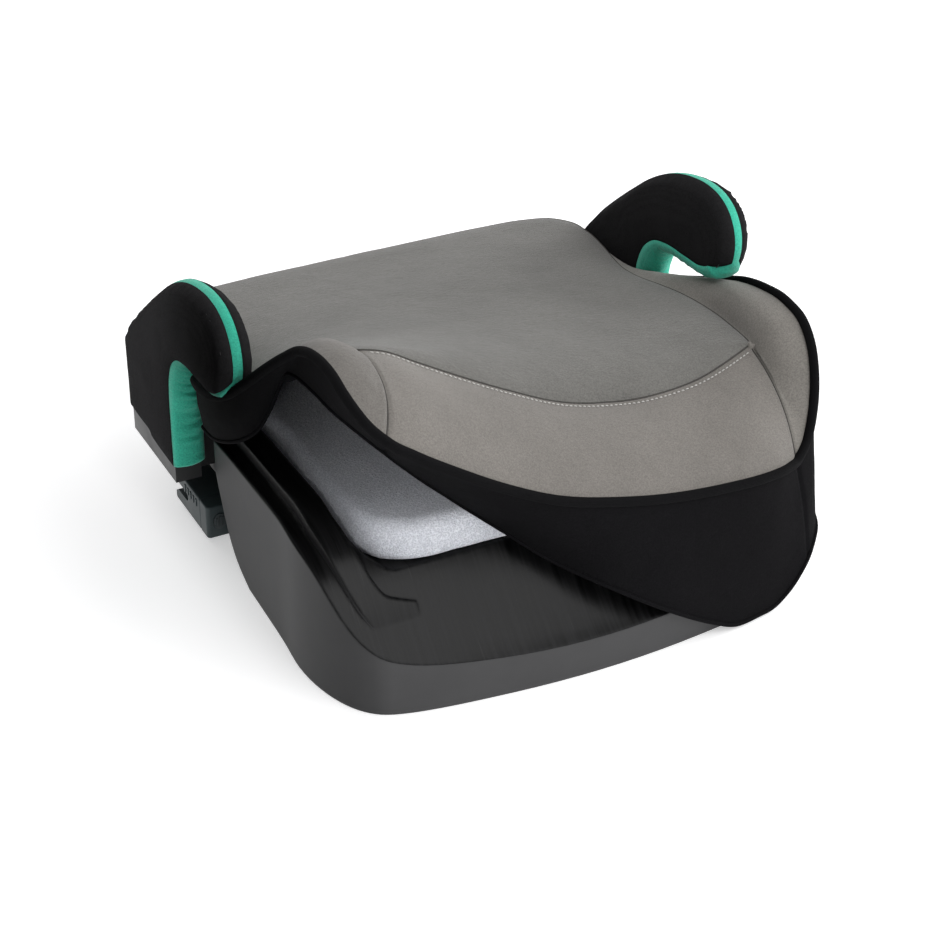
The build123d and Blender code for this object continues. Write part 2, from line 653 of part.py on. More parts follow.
build_seat_shell()
build_foam_pad()
build_armrest_screws()
build_cover()
build_cross_bar()
for side_name, side_sign in SIDES:
    for build in (build_armrest_core, build_sleeve, build_guide_rail, build_housing,
                  build_cap, build_button, build_jaw, build_spring):
        build(side_name, side_sign)
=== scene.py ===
"""Low seat with two armrests and a fabric cover, its left front corner turned up off the foam.

Metres, +Z up. The front of the seat faces -Y and its left side is at -X. The shell and the
hardware come from the CAD nodes. The cover, foam pad and armrest sleeves are built here.
"""

import json
import math

import bmesh
import bpy
import numpy as np
from mathutils import Matrix, Vector
from mathutils.geometry import delaunay_2d_cdt


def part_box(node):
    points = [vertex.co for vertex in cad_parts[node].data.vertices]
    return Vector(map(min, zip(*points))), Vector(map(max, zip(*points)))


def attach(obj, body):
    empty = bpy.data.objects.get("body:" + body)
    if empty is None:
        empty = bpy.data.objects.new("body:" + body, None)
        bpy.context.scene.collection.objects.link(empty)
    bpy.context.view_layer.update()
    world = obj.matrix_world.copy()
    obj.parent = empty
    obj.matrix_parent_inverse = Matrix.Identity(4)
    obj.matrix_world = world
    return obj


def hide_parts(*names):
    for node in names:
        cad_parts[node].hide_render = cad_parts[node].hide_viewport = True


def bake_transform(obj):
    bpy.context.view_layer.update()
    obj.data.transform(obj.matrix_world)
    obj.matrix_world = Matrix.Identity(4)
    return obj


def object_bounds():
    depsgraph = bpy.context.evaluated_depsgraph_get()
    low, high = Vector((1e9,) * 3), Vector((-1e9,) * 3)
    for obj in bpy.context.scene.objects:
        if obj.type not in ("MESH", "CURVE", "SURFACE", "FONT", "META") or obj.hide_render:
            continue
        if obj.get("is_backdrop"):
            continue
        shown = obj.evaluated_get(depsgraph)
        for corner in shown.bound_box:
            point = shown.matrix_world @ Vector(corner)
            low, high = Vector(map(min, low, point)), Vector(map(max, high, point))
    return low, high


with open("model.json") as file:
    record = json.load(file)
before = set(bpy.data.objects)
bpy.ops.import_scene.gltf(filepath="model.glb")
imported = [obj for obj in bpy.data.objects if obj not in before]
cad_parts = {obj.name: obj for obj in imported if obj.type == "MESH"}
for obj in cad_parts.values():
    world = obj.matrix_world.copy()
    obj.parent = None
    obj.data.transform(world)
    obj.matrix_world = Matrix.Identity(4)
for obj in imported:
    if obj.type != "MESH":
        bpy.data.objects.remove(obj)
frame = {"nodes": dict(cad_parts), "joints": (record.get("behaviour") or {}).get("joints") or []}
BOUNDS_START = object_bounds()
NODES = frame["nodes"]
MM = 0.001

# ------------------------------------------------------------------ curves and noise


def unit(vectors):
    """Rows (last axis) scaled to length one."""
    return vectors / np.maximum(np.linalg.norm(vectors, axis=-1, keepdims=True), 1e-12)


def arc_length(points):
    """Distance along a polyline at each of its points."""
    return np.r_[0, np.cumsum(np.linalg.norm(np.diff(points, axis=0), axis=1))]


def smooth01(x):
    x = np.clip(x, 0, 1)
    return x * x * (3 - 2 * x)


def cubic_curve(params, points, at, period=None):
    """Cubic Hermite curve through points at params, evaluated at the values in at."""
    if period is not None:
        s = np.r_[params[-2] - period, params[-1] - period, params,
                  params[0] + period, params[1] + period]
        knots = np.vstack([points[-2:], points, points[:2]])
    else:
        s = np.r_[2 * params[0] - params[1], params, 2 * params[-1] - params[-2]]
        knots = np.vstack([2 * points[0] - points[1], points, 2 * points[-1] - points[-2]])
    h = np.diff(s)
    slope = np.diff(knots, axis=0) / h[:, None]
    tangent = np.zeros_like(knots)
    tangent[1:-1] = ((slope[:-1] * h[1:, None] + slope[1:] * h[:-1, None])
                     / (h[:-1] + h[1:])[:, None])
    tangent[0], tangent[-1] = slope[0], slope[-1]
    i = np.clip(np.searchsorted(s, at, side="right") - 1, 0, len(s) - 2)
    t = ((at - s[i]) / h[i])[:, None]
    tan_a, tan_b = tangent[i] * h[i][:, None], tangent[i + 1] * h[i][:, None]
    return ((2 * t**3 - 3 * t**2 + 1) * knots[i] + (t**3 - 2 * t**2 + t) * tan_a
            + (-2 * t**3 + 3 * t**2) * knots[i + 1] + (t**3 - t**2) * tan_b)


def wave(x, seed, octaves, base):
    """Smooth, repeatable 1-D noise from a few sines."""
    rng = np.random.default_rng(seed)
    out = np.zeros_like(x, float)
    for k in range(octaves):
        for _ in range(3):
            freq = x * base * 2**k * rng.uniform(0.7, 1.3)
            out += np.sin(freq + rng.uniform(0, 6.28)) / (3 * 1.6**k)
    return out


def noise3(points, scale, seed):
    """Smooth repeatable 3-D value noise on a lattice."""
    n = 32
    lattice = np.random.default_rng(seed).uniform(-1, 1, (n, n, n))
    q = points * scale
    i = np.floor(q).astype(int)
    f = q - i
    f = f * f * (3 - 2 * f)
    out = 0
    for dx in (0, 1):
        for dy in (0, 1):
            for dz in (0, 1):
                weight = (np.abs(1 - dx - f[:, 0]) * np.abs(1 - dy - f[:, 1])
                          * np.abs(1 - dz - f[:, 2]))
                corner = lattice[(i[:, 0] + dx) % n, (i[:, 1] + dy) % n, (i[:, 2] + dz) % n]
                out = out + weight * corner
    return out


# ------------------------------------------------------------------ meshes


def new_mesh(name, verts, faces, uv=None, smooth=True):
    me = bpy.data.meshes.new(name)
    me.from_pydata([tuple(v) for v in np.asarray(verts, float)], [],
                   [tuple(int(i) for i in f) for f in faces])
    me.update()
    if uv is not None:
        layer = me.uv_layers.new(name="UVMap")
        index = np.zeros(len(me.loops), np.int32)
        me.loops.foreach_get("vertex_index", index)
        layer.data.foreach_set("uv", np.asarray(uv, float)[index].ravel())
    if smooth:
        me.polygons.foreach_set("use_smooth", [True] * len(me.polygons))
    ob = bpy.data.objects.new(name, me)
    bpy.context.scene.collection.objects.link(ob)
    return ob


def grid_faces(rows, cols, wrap=False):
    faces = []
    for i in range(rows - 1):
        for j in range(cols if wrap else cols - 1):
            k = (j + 1) % cols
            faces.append((i * cols + j, i * cols + k, (i + 1) * cols + k, (i + 1) * cols + j))
    return faces


def fan_faces(first, count, centre):
    """Triangles from a closed ring of vertices to a centre vertex."""
    return [(first + j, first + (j + 1) % count, centre) for j in range(count)]


def grid_normals(grid, wrap=False):
    """Unit normals of a rows x cols x 3 grid."""
    if wrap:
        along = (np.roll(grid, -1, 1) - np.roll(grid, 1, 1)) / 2
    else:
        along = np.gradient(grid, axis=1)
    return unit(np.cross(along, np.gradient(grid, axis=0)))


def outward(normals, grid):
    """Turn a grid's normals away from a point inside the seat."""
    inside = np.array([0, 0, 0.09])
    return -normals if (normals * (grid - inside)).sum() < 0 else normals


def ring(centre, radius, side, up, sides):
    angles = [2 * math.pi * k / sides for k in range(sides)]
    return [centre + radius * (math.cos(a) * side + math.sin(a) * up) for a in angles]


def cord_faces(rings, sides, closed=False, first=0):
    """Faces of a round cord, joined end to end or capped."""
    faces = grid_faces(rings, sides, wrap=True)
    last = (rings - 1) * sides
    if closed:
        faces += [(last + k, last + (k + 1) % sides, (k + 1) % sides, k) for k in range(sides)]
    else:
        faces.append(tuple(range(sides - 1, -1, -1)))
        faces.append(tuple(last + k for k in range(sides)))
    return [tuple(first + i for i in f) for f in faces]


def tube(name, path, radius, sides, closed=False):
    """A round cord along a path (n x 3, metres)."""
    if closed:
        tangents = unit(np.roll(path, -1, 0) - np.roll(path, 1, 0))
    else:
        tangents = unit(np.gradient(path, axis=0))
    verts = []
    for point, tangent in zip(path, tangents):
        side = np.cross(tangent, [0, 0, 1.0])
        if np.linalg.norm(side) < 1e-3:          # the path runs straight up
            side = np.cross(tangent, [1.0, 0, 0])
        side /= np.linalg.norm(side)
        verts += ring(point, radius, side, np.cross(side, tangent), sides)
    return new_mesh(name, verts, cord_faces(len(path), sides, closed))


def apply_mods(ob):
    bpy.context.view_layer.update()
    graph = bpy.context.evaluated_depsgraph_get()
    me = bpy.data.meshes.new_from_object(ob.evaluated_get(graph), depsgraph=graph)
    ob.modifiers.clear()
    ob.data = me


def thicken(ob, thickness, lined=False):
    """Give cloth its thickness. Lined cloth has a second material slot for back and rim."""
    mod = ob.modifiers.new("thick", "SOLIDIFY")
    mod.thickness = thickness
    mod.offset = -1.0
    mod.use_even_offset = False
    mod.use_rim = True
    if lined:
        ob.data.materials.append(None)
        ob.data.materials.append(None)
        mod.material_offset = 1
        mod.material_offset_rim = 1
    apply_mods(ob)
    ob.data.polygons.foreach_set("use_smooth", [True] * len(ob.data.polygons))


def give(ob, *materials):
    """Set an object's materials. Several slots that already match are filled in place."""
    if len(ob.data.materials) == len(materials) and len(materials) > 1:
        for i, material in enumerate(materials):
            ob.data.materials[i] = material
        return ob
    ob.data.materials.clear()
    for material in materials:
        ob.data.materials.append(material)
    return ob


# ------------------------------------------------------------------ shader nodes


def rgba(color):
    """A grey level or an RGB triple as an opaque colour."""
    return (*((color,) * 3 if np.ndim(color) == 0 else color), 1)


class Nodes:
    """A node tree. Helpers take sockets or plain values and return output sockets."""

    def __init__(self, tree):
        self.tree = tree
        tree.nodes.clear()

    def feed(self, socket, value):
        if isinstance(value, bpy.types.NodeSocket):
            self.tree.links.new(value, socket)
        else:
            socket.default_value = rgba(value) if socket.type == "RGBA" else value

    def fill(self, node, **settings):
        """Set inputs (underscores stand for spaces) or, failing that, node properties."""
        for name, value in settings.items():
            socket_name = name.replace("_", " ")
            if socket_name in node.inputs:
                self.feed(node.inputs[socket_name], value)
            else:
                setattr(node, name, value)

    def add(self, kind, **settings):
        node = self.tree.nodes.new(kind)
        self.fill(node, **settings)
        return node

    def ramp(self, fac, *stops):
        """Colour ramp; each stop is (position, colour or grey level)."""
        node = self.add("ShaderNodeValToRGB", Fac=fac)
        elements = node.color_ramp.elements
        while len(elements) < len(stops):
            elements.new(0.5)
        for element, (position, color) in zip(elements, stops):
            element.position = position
            element.color = rgba(color)
        return node.outputs["Color"]


class Material(Nodes):
    """A material with one Principled surface."""

    def __init__(self, name):
        self.material = bpy.data.materials.new(name)
        self.material.use_nodes = True
        super().__init__(self.material.node_tree)
        self.surface = self.add("ShaderNodeBsdfPrincipled")
        self.add("ShaderNodeOutputMaterial", Surface=self.surface.outputs["BSDF"])
        self.coords = None

    def finish(self, **settings):
        """Fill the surface inputs and return the material."""
        self.fill(self.surface, **settings)
        return self.material

    def coord(self, kind="Object"):
        if self.coords is None:
            self.coords = self.add("ShaderNodeTexCoord")
        return self.coords.outputs[kind]

    def mapping(self, scale, coord="Object", turn=0.0):
        node = self.add("ShaderNodeMapping", Scale=scale, Rotation=(0, 0, turn),
                        Vector=self.coord(coord))
        return node.outputs["Vector"]

    def noise(self, scale, detail, rough, vector=None):
        node = self.add("ShaderNodeTexNoise", Scale=scale, Detail=detail, Roughness=rough,
                        Vector=self.coord() if vector is None else vector)
        return node.outputs["Fac"]

    def cells(self, scale):
        node = self.add("ShaderNodeTexVoronoi", Scale=scale, Vector=self.coord())
        return node.outputs["Distance"]

    def math(self, operation, *values):
        node = self.add("ShaderNodeMath", operation=operation)
        for socket, value in zip(node.inputs, values):
            self.feed(socket, value)
        return node.outputs["Value"]

    def mix(self, fac, a, b, blend="MIX"):
        node = self.add("ShaderNodeMix", data_type="RGBA", blend_type=blend)
        # factor and the two colour inputs, by their places on the node
        for index, value in ((0, fac), (6, a), (7, b)):
            self.feed(node.inputs[index], value)
        return node.outputs[2]

    def bump(self, height, strength, distance, normal=None):
        node = self.add("ShaderNodeBump", Height=height, Strength=strength, Distance=distance)
        if normal is not None:
            self.feed(node.inputs["Normal"], normal)
        return node.outputs["Normal"]


# ------------------------------------------------------------------ materials


def knit(name, color, dark, sheen=0.25, rib_scale=900.0, crinkle=0.35, coord="UV", spec=0.2):
    """Fine weft knit: rows of small loops, a faint crinkle and a little lint."""
    m = Material(name)
    rows = m.mapping((rib_scale,) * 3, coord)
    bands = [m.add("ShaderNodeTexWave", wave_type="BANDS", bands_direction=axis, Scale=0.6,
                   Distortion=0.8, Detail=1.0, Vector=rows).outputs["Fac"] for axis in "XY"]
    weave = m.math("MULTIPLY", *bands)
    patch = m.noise(scale=16, detail=3, rough=0.55)
    creep = m.noise(scale=1.0, detail=5, rough=0.68,
                    vector=m.mapping((170, 330, 240), turn=0.12))
    lint = m.noise(scale=900, detail=3, rough=0.7)
    grain = m.ramp(lint, (0.38, tuple(x * 0.66 for x in color)),
                   (0.62, tuple(min(1, x * 1.34) for x in color)))
    base = m.mix(fac=0.62, a=m.mix(creep, dark, color), b=grain)
    base = m.mix(weave, base, tuple(x * 1.05 for x in color))
    tone = m.ramp(patch, (0.3, 0.88), (0.7, 1.06))
    normal = m.bump(creep, strength=crinkle, distance=0.0012)
    normal = m.bump(weave, strength=0.35, distance=0.0004, normal=normal)
    normal = m.bump(lint, strength=0.25, distance=0.0002, normal=normal)
    return m.finish(Base_Color=m.mix(1.0, base, tone, "MULTIPLY"), Normal=normal, Roughness=0.9,
                    Sheen_Weight=sheen, Sheen_Roughness=0.45, Specular_IOR_Level=spec)


def thread_material():
    m = Material("stitch_thread")
    fibre = m.noise(scale=2500, detail=2, rough=0.5)
    color = m.ramp(fibre, (0.3, (0.44, 0.43, 0.41)), (0.7, (0.58, 0.57, 0.55)))
    return m.finish(Base_Color=color, Roughness=0.7)


def shell_material():
    """Black moulded plastic: glossy deck, satin fine-grained side wall, faint scratches, and
    painted shade on faces turned to the left.
    """
    m = Material("shell_black")
    geometry = m.add("ShaderNodeNewGeometry")
    facing = m.add("ShaderNodeSeparateXYZ", Vector=geometry.outputs["Normal"]).outputs
    deck = m.ramp(facing["Z"], (0.16, 0), (0.34, 1))
    # streaks run from front to back
    streak = m.noise(scale=1.0, detail=3, rough=0.55, vector=m.mapping((330, 7, 7)))
    patch = m.noise(scale=22, detail=3, rough=0.6)
    fine = m.noise(scale=2600, detail=2, rough=0.5)
    scratch = m.noise(scale=1.0, detail=1, rough=0.5, vector=m.mapping((900, 22, 22), turn=0.5))
    scratch = m.ramp(scratch, (0.74, 0), (0.77, 1))
    roughness = m.mix(deck, 0.5, m.ramp(streak, (0.35, 0.30), (0.65, 0.37)))
    # painted shade: faces turned to the left get a darker colour and less specular reflection,
    # standing in for shade on that side
    side = m.math("MULTIPLY_ADD", facing["X"], 0.5, 0.5)
    tone = m.ramp(side, (0.02, 0.55), (0.32, 1.0))
    spec = m.math("MULTIPLY", m.ramp(deck, (0.0, 0.5), (1.0, 0.15)), tone)
    wall = m.ramp(patch, (0.3, (0.029, 0.029, 0.0305)), (0.7, (0.037, 0.037, 0.0385)))
    wall = m.mix(1.0, wall, tone, "MULTIPLY")
    deck_color = m.ramp(streak, (0.36, (0.0020, 0.0020, 0.0022)),
                        (0.66, (0.0120, 0.0120, 0.0125)))
    deck_color = m.mix(scratch, deck_color, (0.022, 0.022, 0.023))
    # moulded edges are eased
    normal = m.add("ShaderNodeBevel", samples=6, Radius=0.0035).outputs["Normal"]
    normal = m.bump(fine, strength=0.10, distance=0.0002, normal=normal)
    normal = m.bump(patch, strength=0.10, distance=0.0015, normal=normal)
    return m.finish(Base_Color=m.mix(deck, wall, deck_color), Roughness=roughness,
                    Specular_IOR_Level=spec, Normal=normal)


def plastic(name, color, rough, wear=0.15, spec=0.5):
    m = Material(name)
    patch = m.noise(scale=35, detail=4, rough=0.6)
    grain = m.noise(scale=1800, detail=2, rough=0.5)
    return m.finish(Base_Color=m.mix(patch, tuple(x * (1 - wear) for x in color), color),
                    Roughness=m.ramp(patch, (0.3, rough * 0.9), (0.7, rough * 1.15)),
                    Specular_IOR_Level=spec,
                    Normal=m.bump(grain, strength=0.15, distance=0.0002))


def foam_material():
    """Pale open-cell foam with a fine grain."""
    m = Material("pad_foam")
    small = m.cells(scale=900)
    large = m.cells(scale=380)
    patch = m.noise(scale=40, detail=4, rough=0.6)
    cell = m.ramp(small, (0.0, (0.33, 0.34, 0.38)), (0.55, (0.57, 0.583, 0.62)),
                  (1.0, (0.72, 0.73, 0.76)))
    tint = m.ramp(patch, (0.3, (0.90, 0.91, 0.93)), (0.7, (1.04, 1.04, 1.05)))
    normal = m.bump(small, strength=0.6, distance=0.0008)
    normal = m.bump(large, strength=0.4, distance=0.001, normal=normal)
    return m.finish(Base_Color=m.mix(1.0, cell, tint, "MULTIPLY"), Normal=normal,
                    Roughness=0.85, Sheen_Weight=0.2)


def steel_material():
    m = Material("zinc_steel")
    brushed = m.noise(scale=1.0, detail=3, rough=0.6, vector=m.mapping((40, 900, 900)))
    return m.finish(Roughness=m.ramp(brushed, (0.3, 0.25), (0.7, 0.4)),
                    Base_Color=m.ramp(brushed, (0.3, (0.5, 0.5, 0.52)), (0.7, (0.62, 0.62, 0.64))),
                    Metallic=1.0)


# knits: name, colour of the loops, colour between them
GREY_TOP = knit("grey_knit_top", (0.168, 0.164, 0.153), (0.112, 0.109, 0.102), crinkle=0.85)
GREY_FRONT = knit("grey_knit_front", (0.200, 0.186, 0.170), (0.150, 0.139, 0.127),
                  crinkle=0.5, rib_scale=1100)
GREY_SIDE = knit("grey_knit_side", (0.240, 0.226, 0.206), (0.190, 0.178, 0.162),
                 crinkle=0.5, rib_scale=1100)
# painted shade: a darker copy of the side knit for the left side panel, standing in for shade on
# that side
GREY_SIDE_SHADED = knit("grey_knit_side_left", (0.168, 0.157, 0.144), (0.126, 0.118, 0.108),
                   crinkle=0.5, rib_scale=1100)
BLACK = knit("black_knit", (0.0062, 0.0060, 0.0068), (0.0040, 0.0039, 0.0046),
             sheen=0.0, crinkle=0.3, spec=0.06)
BLACK_ARM = knit("black_knit_arm", (0.0190, 0.0186, 0.0196), (0.0125, 0.0122, 0.0130),
                 sheen=0.0, crinkle=0.3, coord="Object", spec=0.04)
PIPING = knit("piping_cord", (0.0050, 0.0049, 0.0055), (0.003, 0.003, 0.0035),
              sheen=0.0, crinkle=0.2, coord="Object", spec=0.08)
GREEN = knit("green_knit", (0.050, 0.51, 0.355), (0.036, 0.42, 0.290),
             sheen=0.22, crinkle=0.5, coord="Object")
SEAM = knit("seam_thread_dark", (0.075, 0.071, 0.066), (0.055, 0.052, 0.048),
            sheen=0.02, crinkle=0.3, coord="Object")
LINING = knit("lining", (0.008, 0.008, 0.009), (0.005, 0.005, 0.0055),
              sheen=0.0, crinkle=0.3, coord="Object", spec=0.05)
THREAD = thread_material()
SHELL = shell_material()
ARM_PLASTIC = plastic("armrest_plastic", (0.018, 0.018, 0.019), rough=0.42)
CONN_PLASTIC = plastic("connector_plastic", (0.036, 0.052, 0.055), rough=0.42, wear=0.2, spec=0.3)
BUTTON_PLASTIC = plastic("button_plastic", (0.036, 0.048, 0.050), rough=0.45, wear=0.2)
FOAM = foam_material()
STEEL = steel_material()

# finishes of the CAD nodes: material, whole names, name beginnings
CAD_FINISHES = (
    (SHELL, ("seat_shell",), ()),
    (ARM_PLASTIC, (), ("armrest_core", "guide_rail")),
    (CONN_PLASTIC, (), ("connector",)),
    (BUTTON_PLASTIC, (), ("release_button",)),
    (STEEL, ("cross_bar", "armrest_screws"), ("jaw", "button_spring")),
    (FOAM, ("foam_pad",), ()),
)
for node_name, node_ob in NODES.items():
    for finish, names, beginnings in CAD_FINISHES:
        if node_name in names or node_name.startswith(beginnings):
            give(node_ob, finish)
            break

# ------------------------------------------------------------------ cover stations
# Stations round the cover, in mm. Each row: seam (x, y, z), piping (x, y, z), hem (x, y, z),
# and how far the panel between seam and piping bulges.
REAR = [  # right half, from the middle outwards
    (0, 203, 128, 0, 212, 112, 0, 207, 28, 4),
    (60, 203, 128, 62, 212, 112, 60, 206, 28, 4),
    (110, 202, 128, 114, 210, 112, 110, 205, 28, 4),
    (145, 198, 128.5, 150, 205, 112, 142, 201, 30, 4),
    (166, 190, 129, 170, 194, 113, 160, 191, 34, 4),
    (176, 174, 130.5, 177, 178, 115, 166, 174, 48, 3),
    (178, 150, 132, 178, 152, 119, 171, 150, 90, 2),
    (172, 115, 136, 177.5, 117, 125, 172, 115, 91, 2),
    (165, 84, 139, 177.5, 84, 129, 172, 84, 91, 3),
    (162, 66, 141, 181, 62, 132, 176, 62, 88, 4),
]
LEFT = [  # from the rear forwards, rising to the lifted corner
    (-160, 44, 147, -194, 45, 146, -190, 46, 106, 6),
    (-158, 22, 153, -199, 22, 152, -191, 24, 109, 7),
    (-156, -2, 161, -201, -4, 160, -189, 4, 116, 8),
    (-152, -28, 175, -198, -28, 172, -184, -14, 126, 9),
    (-148, -48, 190, -191, -47, 189, -177, -26, 138, 9),
    (-145, -64, 202, -184, -64, 206, -171, -33, 154, 9),
    (-141.5, -77, 212, -179, -84, 223, -166, -38, 171, 9),
    (-138, -88, 219.5, -175, -106, 238, -163, -46, 188, 9),
    (-136, -93, 222, -174, -130, 244, -161, -64, 194, 9),
    (-135, -96, 223.5, -173, -149, 242, -157, -82, 191, 10),
    (-134.4, -98, 224.5, -172, -165, 235.5, -153, -98, 186, 11),
    (-134, -99.5, 225.3, -168.5, -176, 227.5, -147, -108, 180, 12),
    (-133.5, -100.3, 225.7, -163, -184, 219, -139, -117, 172, 12),
]
FRONT = [  # from left to right
    (-133, -101, 226, -155, -190, 211, -128, -125, 161, 12.5),
    (-120, -105, 224, -139, -193, 199, -113, -132, 146, 12),
    (-96, -109, 211.5, -109, -195.5, 179, -86, -139, 121, 10),
    (-68, -112, 196, -78, -197, 160, -60, -158, 101, 9),
    (-32, -114.5, 177, -37, -198, 139.5, -29, -177, 77, 8),
    (5, -114, 158.5, 2, -198.5, 127.5, 3, -200, 60, 8),
    (42, -113, 147.5, 45, -197.5, 117.5, 40, -210, 37, 8),
    (76, -112, 142.5, 81, -195, 111.5, 79, -209, 13, 8),
    (100, -110.5, 142, 100, -192.5, 108.5, 99, -207.5, 4, 8),
    (119, -109, 143.5, 119, -190, 106, 119, -204, 3, 8),
    (145, -103.5, 147.5, 146, -182, 101.5, 141, -199, 6, 8),
    (160, -99, 150, 158, -175, 98.5, 156, -194.5, 15, 8),
    (172, -95, 152, 168, -168, 97, 171, -187, 27, 8),
]
RIGHT = [  # from the front rearwards
    (172.2, -94, 152, 179, -161, 104, 183, -176, 37, 8),
    (172.5, -92.5, 152, 189, -152, 122, 190, -162, 44, 8),
    (172.9, -90.5, 152, 196, -141, 143, 193, -145, 49, 8),
    (173.2, -88, 152, 201, -127, 160, 196, -126, 50, 8),
    (173.6, -84, 152, 204, -110, 171, 197, -108, 51, 8),
    (174, -76, 152, 205, -90, 175, 197.5, -88, 52, 8),
    (175, -50, 151.5, 205.5, -62, 173, 197.5, -60, 53, 8),
    (174, -25, 150.5, 205.5, -33, 166, 197.5, -33, 54, 8),
    (171.5, -2, 149, 205, -8, 155.5, 197, -8, 55, 7.5),
    (167, 24, 146, 203, 20, 143, 196, 20, 57, 6),
    (163, 46, 143, 196, 45, 134, 192, 46, 62, 5),
]
MIRROR = np.array([-1, 1, 1] * 3 + [1])
# anticlockwise seen from above, from the middle of the rear edge
STATIONS = np.vstack([np.array(REAR) * MIRROR, LEFT, FRONT, RIGHT, REAR[:0:-1]]) * MM
SEAM_PTS, PIPE_PTS, HEM_PTS = STATIONS[:, 0:3], STATIONS[:, 3:6], STATIONS[:, 6:9]
PUFF = STATIONS[:, 9:]

# parameter of each station: length along the piping plus half that along the seam, closed
station_step = (np.linalg.norm(np.roll(PIPE_PTS, -1, 0) - PIPE_PTS, axis=1)
                + 0.5 * np.linalg.norm(np.roll(SEAM_PTS, -1, 0) - SEAM_PTS, axis=1) + 1e-4)
STATION_S = np.r_[0, np.cumsum(station_step)[:-1]]
PERIOD = float(station_step.sum())


def around(station_values, at):
    """Station values at any parameter round the cover."""
    return cubic_curve(STATION_S, station_values, np.mod(at, PERIOD), PERIOD)


ROUND_COUNT = 720                            # points round a closed line
ROUND_S = np.linspace(0, PERIOD, ROUND_COUNT, endpoint=False)
SEAM_LINE, PIPE_LINE, HEM_LINE = (around(p, ROUND_S) for p in (SEAM_PTS, PIPE_PTS, HEM_PTS))

first_front = len(REAR) + len(LEFT)
last_front = first_front + len(FRONT) - 1
CORNER_L, CORNER_R = STATION_S[first_front], STATION_S[last_front]
# side panels meet the rear panel a little beyond the rear ends of LEFT and RIGHT
SIDE_OVERLAP = 0.05
REAR_L = STATION_S[len(REAR)] - SIDE_OVERLAP
REAR_R = STATION_S[last_front + len(RIGHT)] + SIDE_OVERLAP

COVER_THICK = 0.0022
PANEL_THICK = 0.0036
PIPING_R = 0.0034
HEM_R = 0.0016
SEAM_LOOP_R = 0.0007
SEAM_END_R = 0.0006

# ------------------------------------------------------------------ cover, seat panel


def seat_top(rings=72):
    """Seat panel inside the seam: a smooth membrane plus padding."""
    shrink = 1 - np.linspace(0, 1, rings) ** 1.35 * 0.985
    # damping the seam's harmonics towards the middle gives the membrane
    harmonics = np.fft.fft(SEAM_LINE, axis=0) / ROUND_COUNT
    order = np.abs(np.fft.fftfreq(ROUND_COUNT, 1.0 / ROUND_COUNT))
    seat = np.stack([np.fft.ifft(harmonics * (r ** order)[:, None], axis=0).real * ROUND_COUNT
                     for r in shrink])
    seat[0] = SEAM_LINE
    from_seam = np.linalg.norm(seat - SEAM_LINE[None], axis=2)
    # even padding, and a fuller roll behind the front seam
    front = smooth01((ROUND_S - CORNER_L) / 0.10) * smooth01((CORNER_R - ROUND_S) / 0.16)
    padding = (0.0046 * (1 - np.exp(-from_seam / 0.010))
               + 0.0042 * front[None] * (1 - np.exp(-from_seam / 0.020))
               * np.exp(-(from_seam / 0.075) ** 2))
    crown = 0.003 * np.exp(-((seat[..., 0] / 0.11) ** 2 + ((seat[..., 1] - 0.05) / 0.13) ** 2))
    grid = seat + grid_normals(seat, wrap=True) * padding[..., None]
    grid[..., 2] += crown
    verts = grid.reshape(-1, 3)
    # surface unevenness, fading to nothing at the seam
    fade = np.repeat((1 - np.exp(-np.linspace(0, 1, rings) * 12)), ROUND_COUNT)
    verts[:, 2] += fade * (0.0006 * noise3(verts, 24, 3) + 0.00025 * noise3(verts, 90, 4))
    faces = (grid_faces(rings, ROUND_COUNT, wrap=True)
             + fan_faces((rings - 1) * ROUND_COUNT, ROUND_COUNT, len(verts)))
    verts = np.vstack([verts, verts[-ROUND_COUNT:].mean(0)[None]])
    ob = new_mesh("cover_seat_top", verts, faces, uv=verts[:, :2])
    thicken(ob, COVER_THICK, lined=True)
    return give(ob, GREY_TOP, LINING)


cover_seat = seat_top()

# ------------------------------------------------------------------ cover, side panels


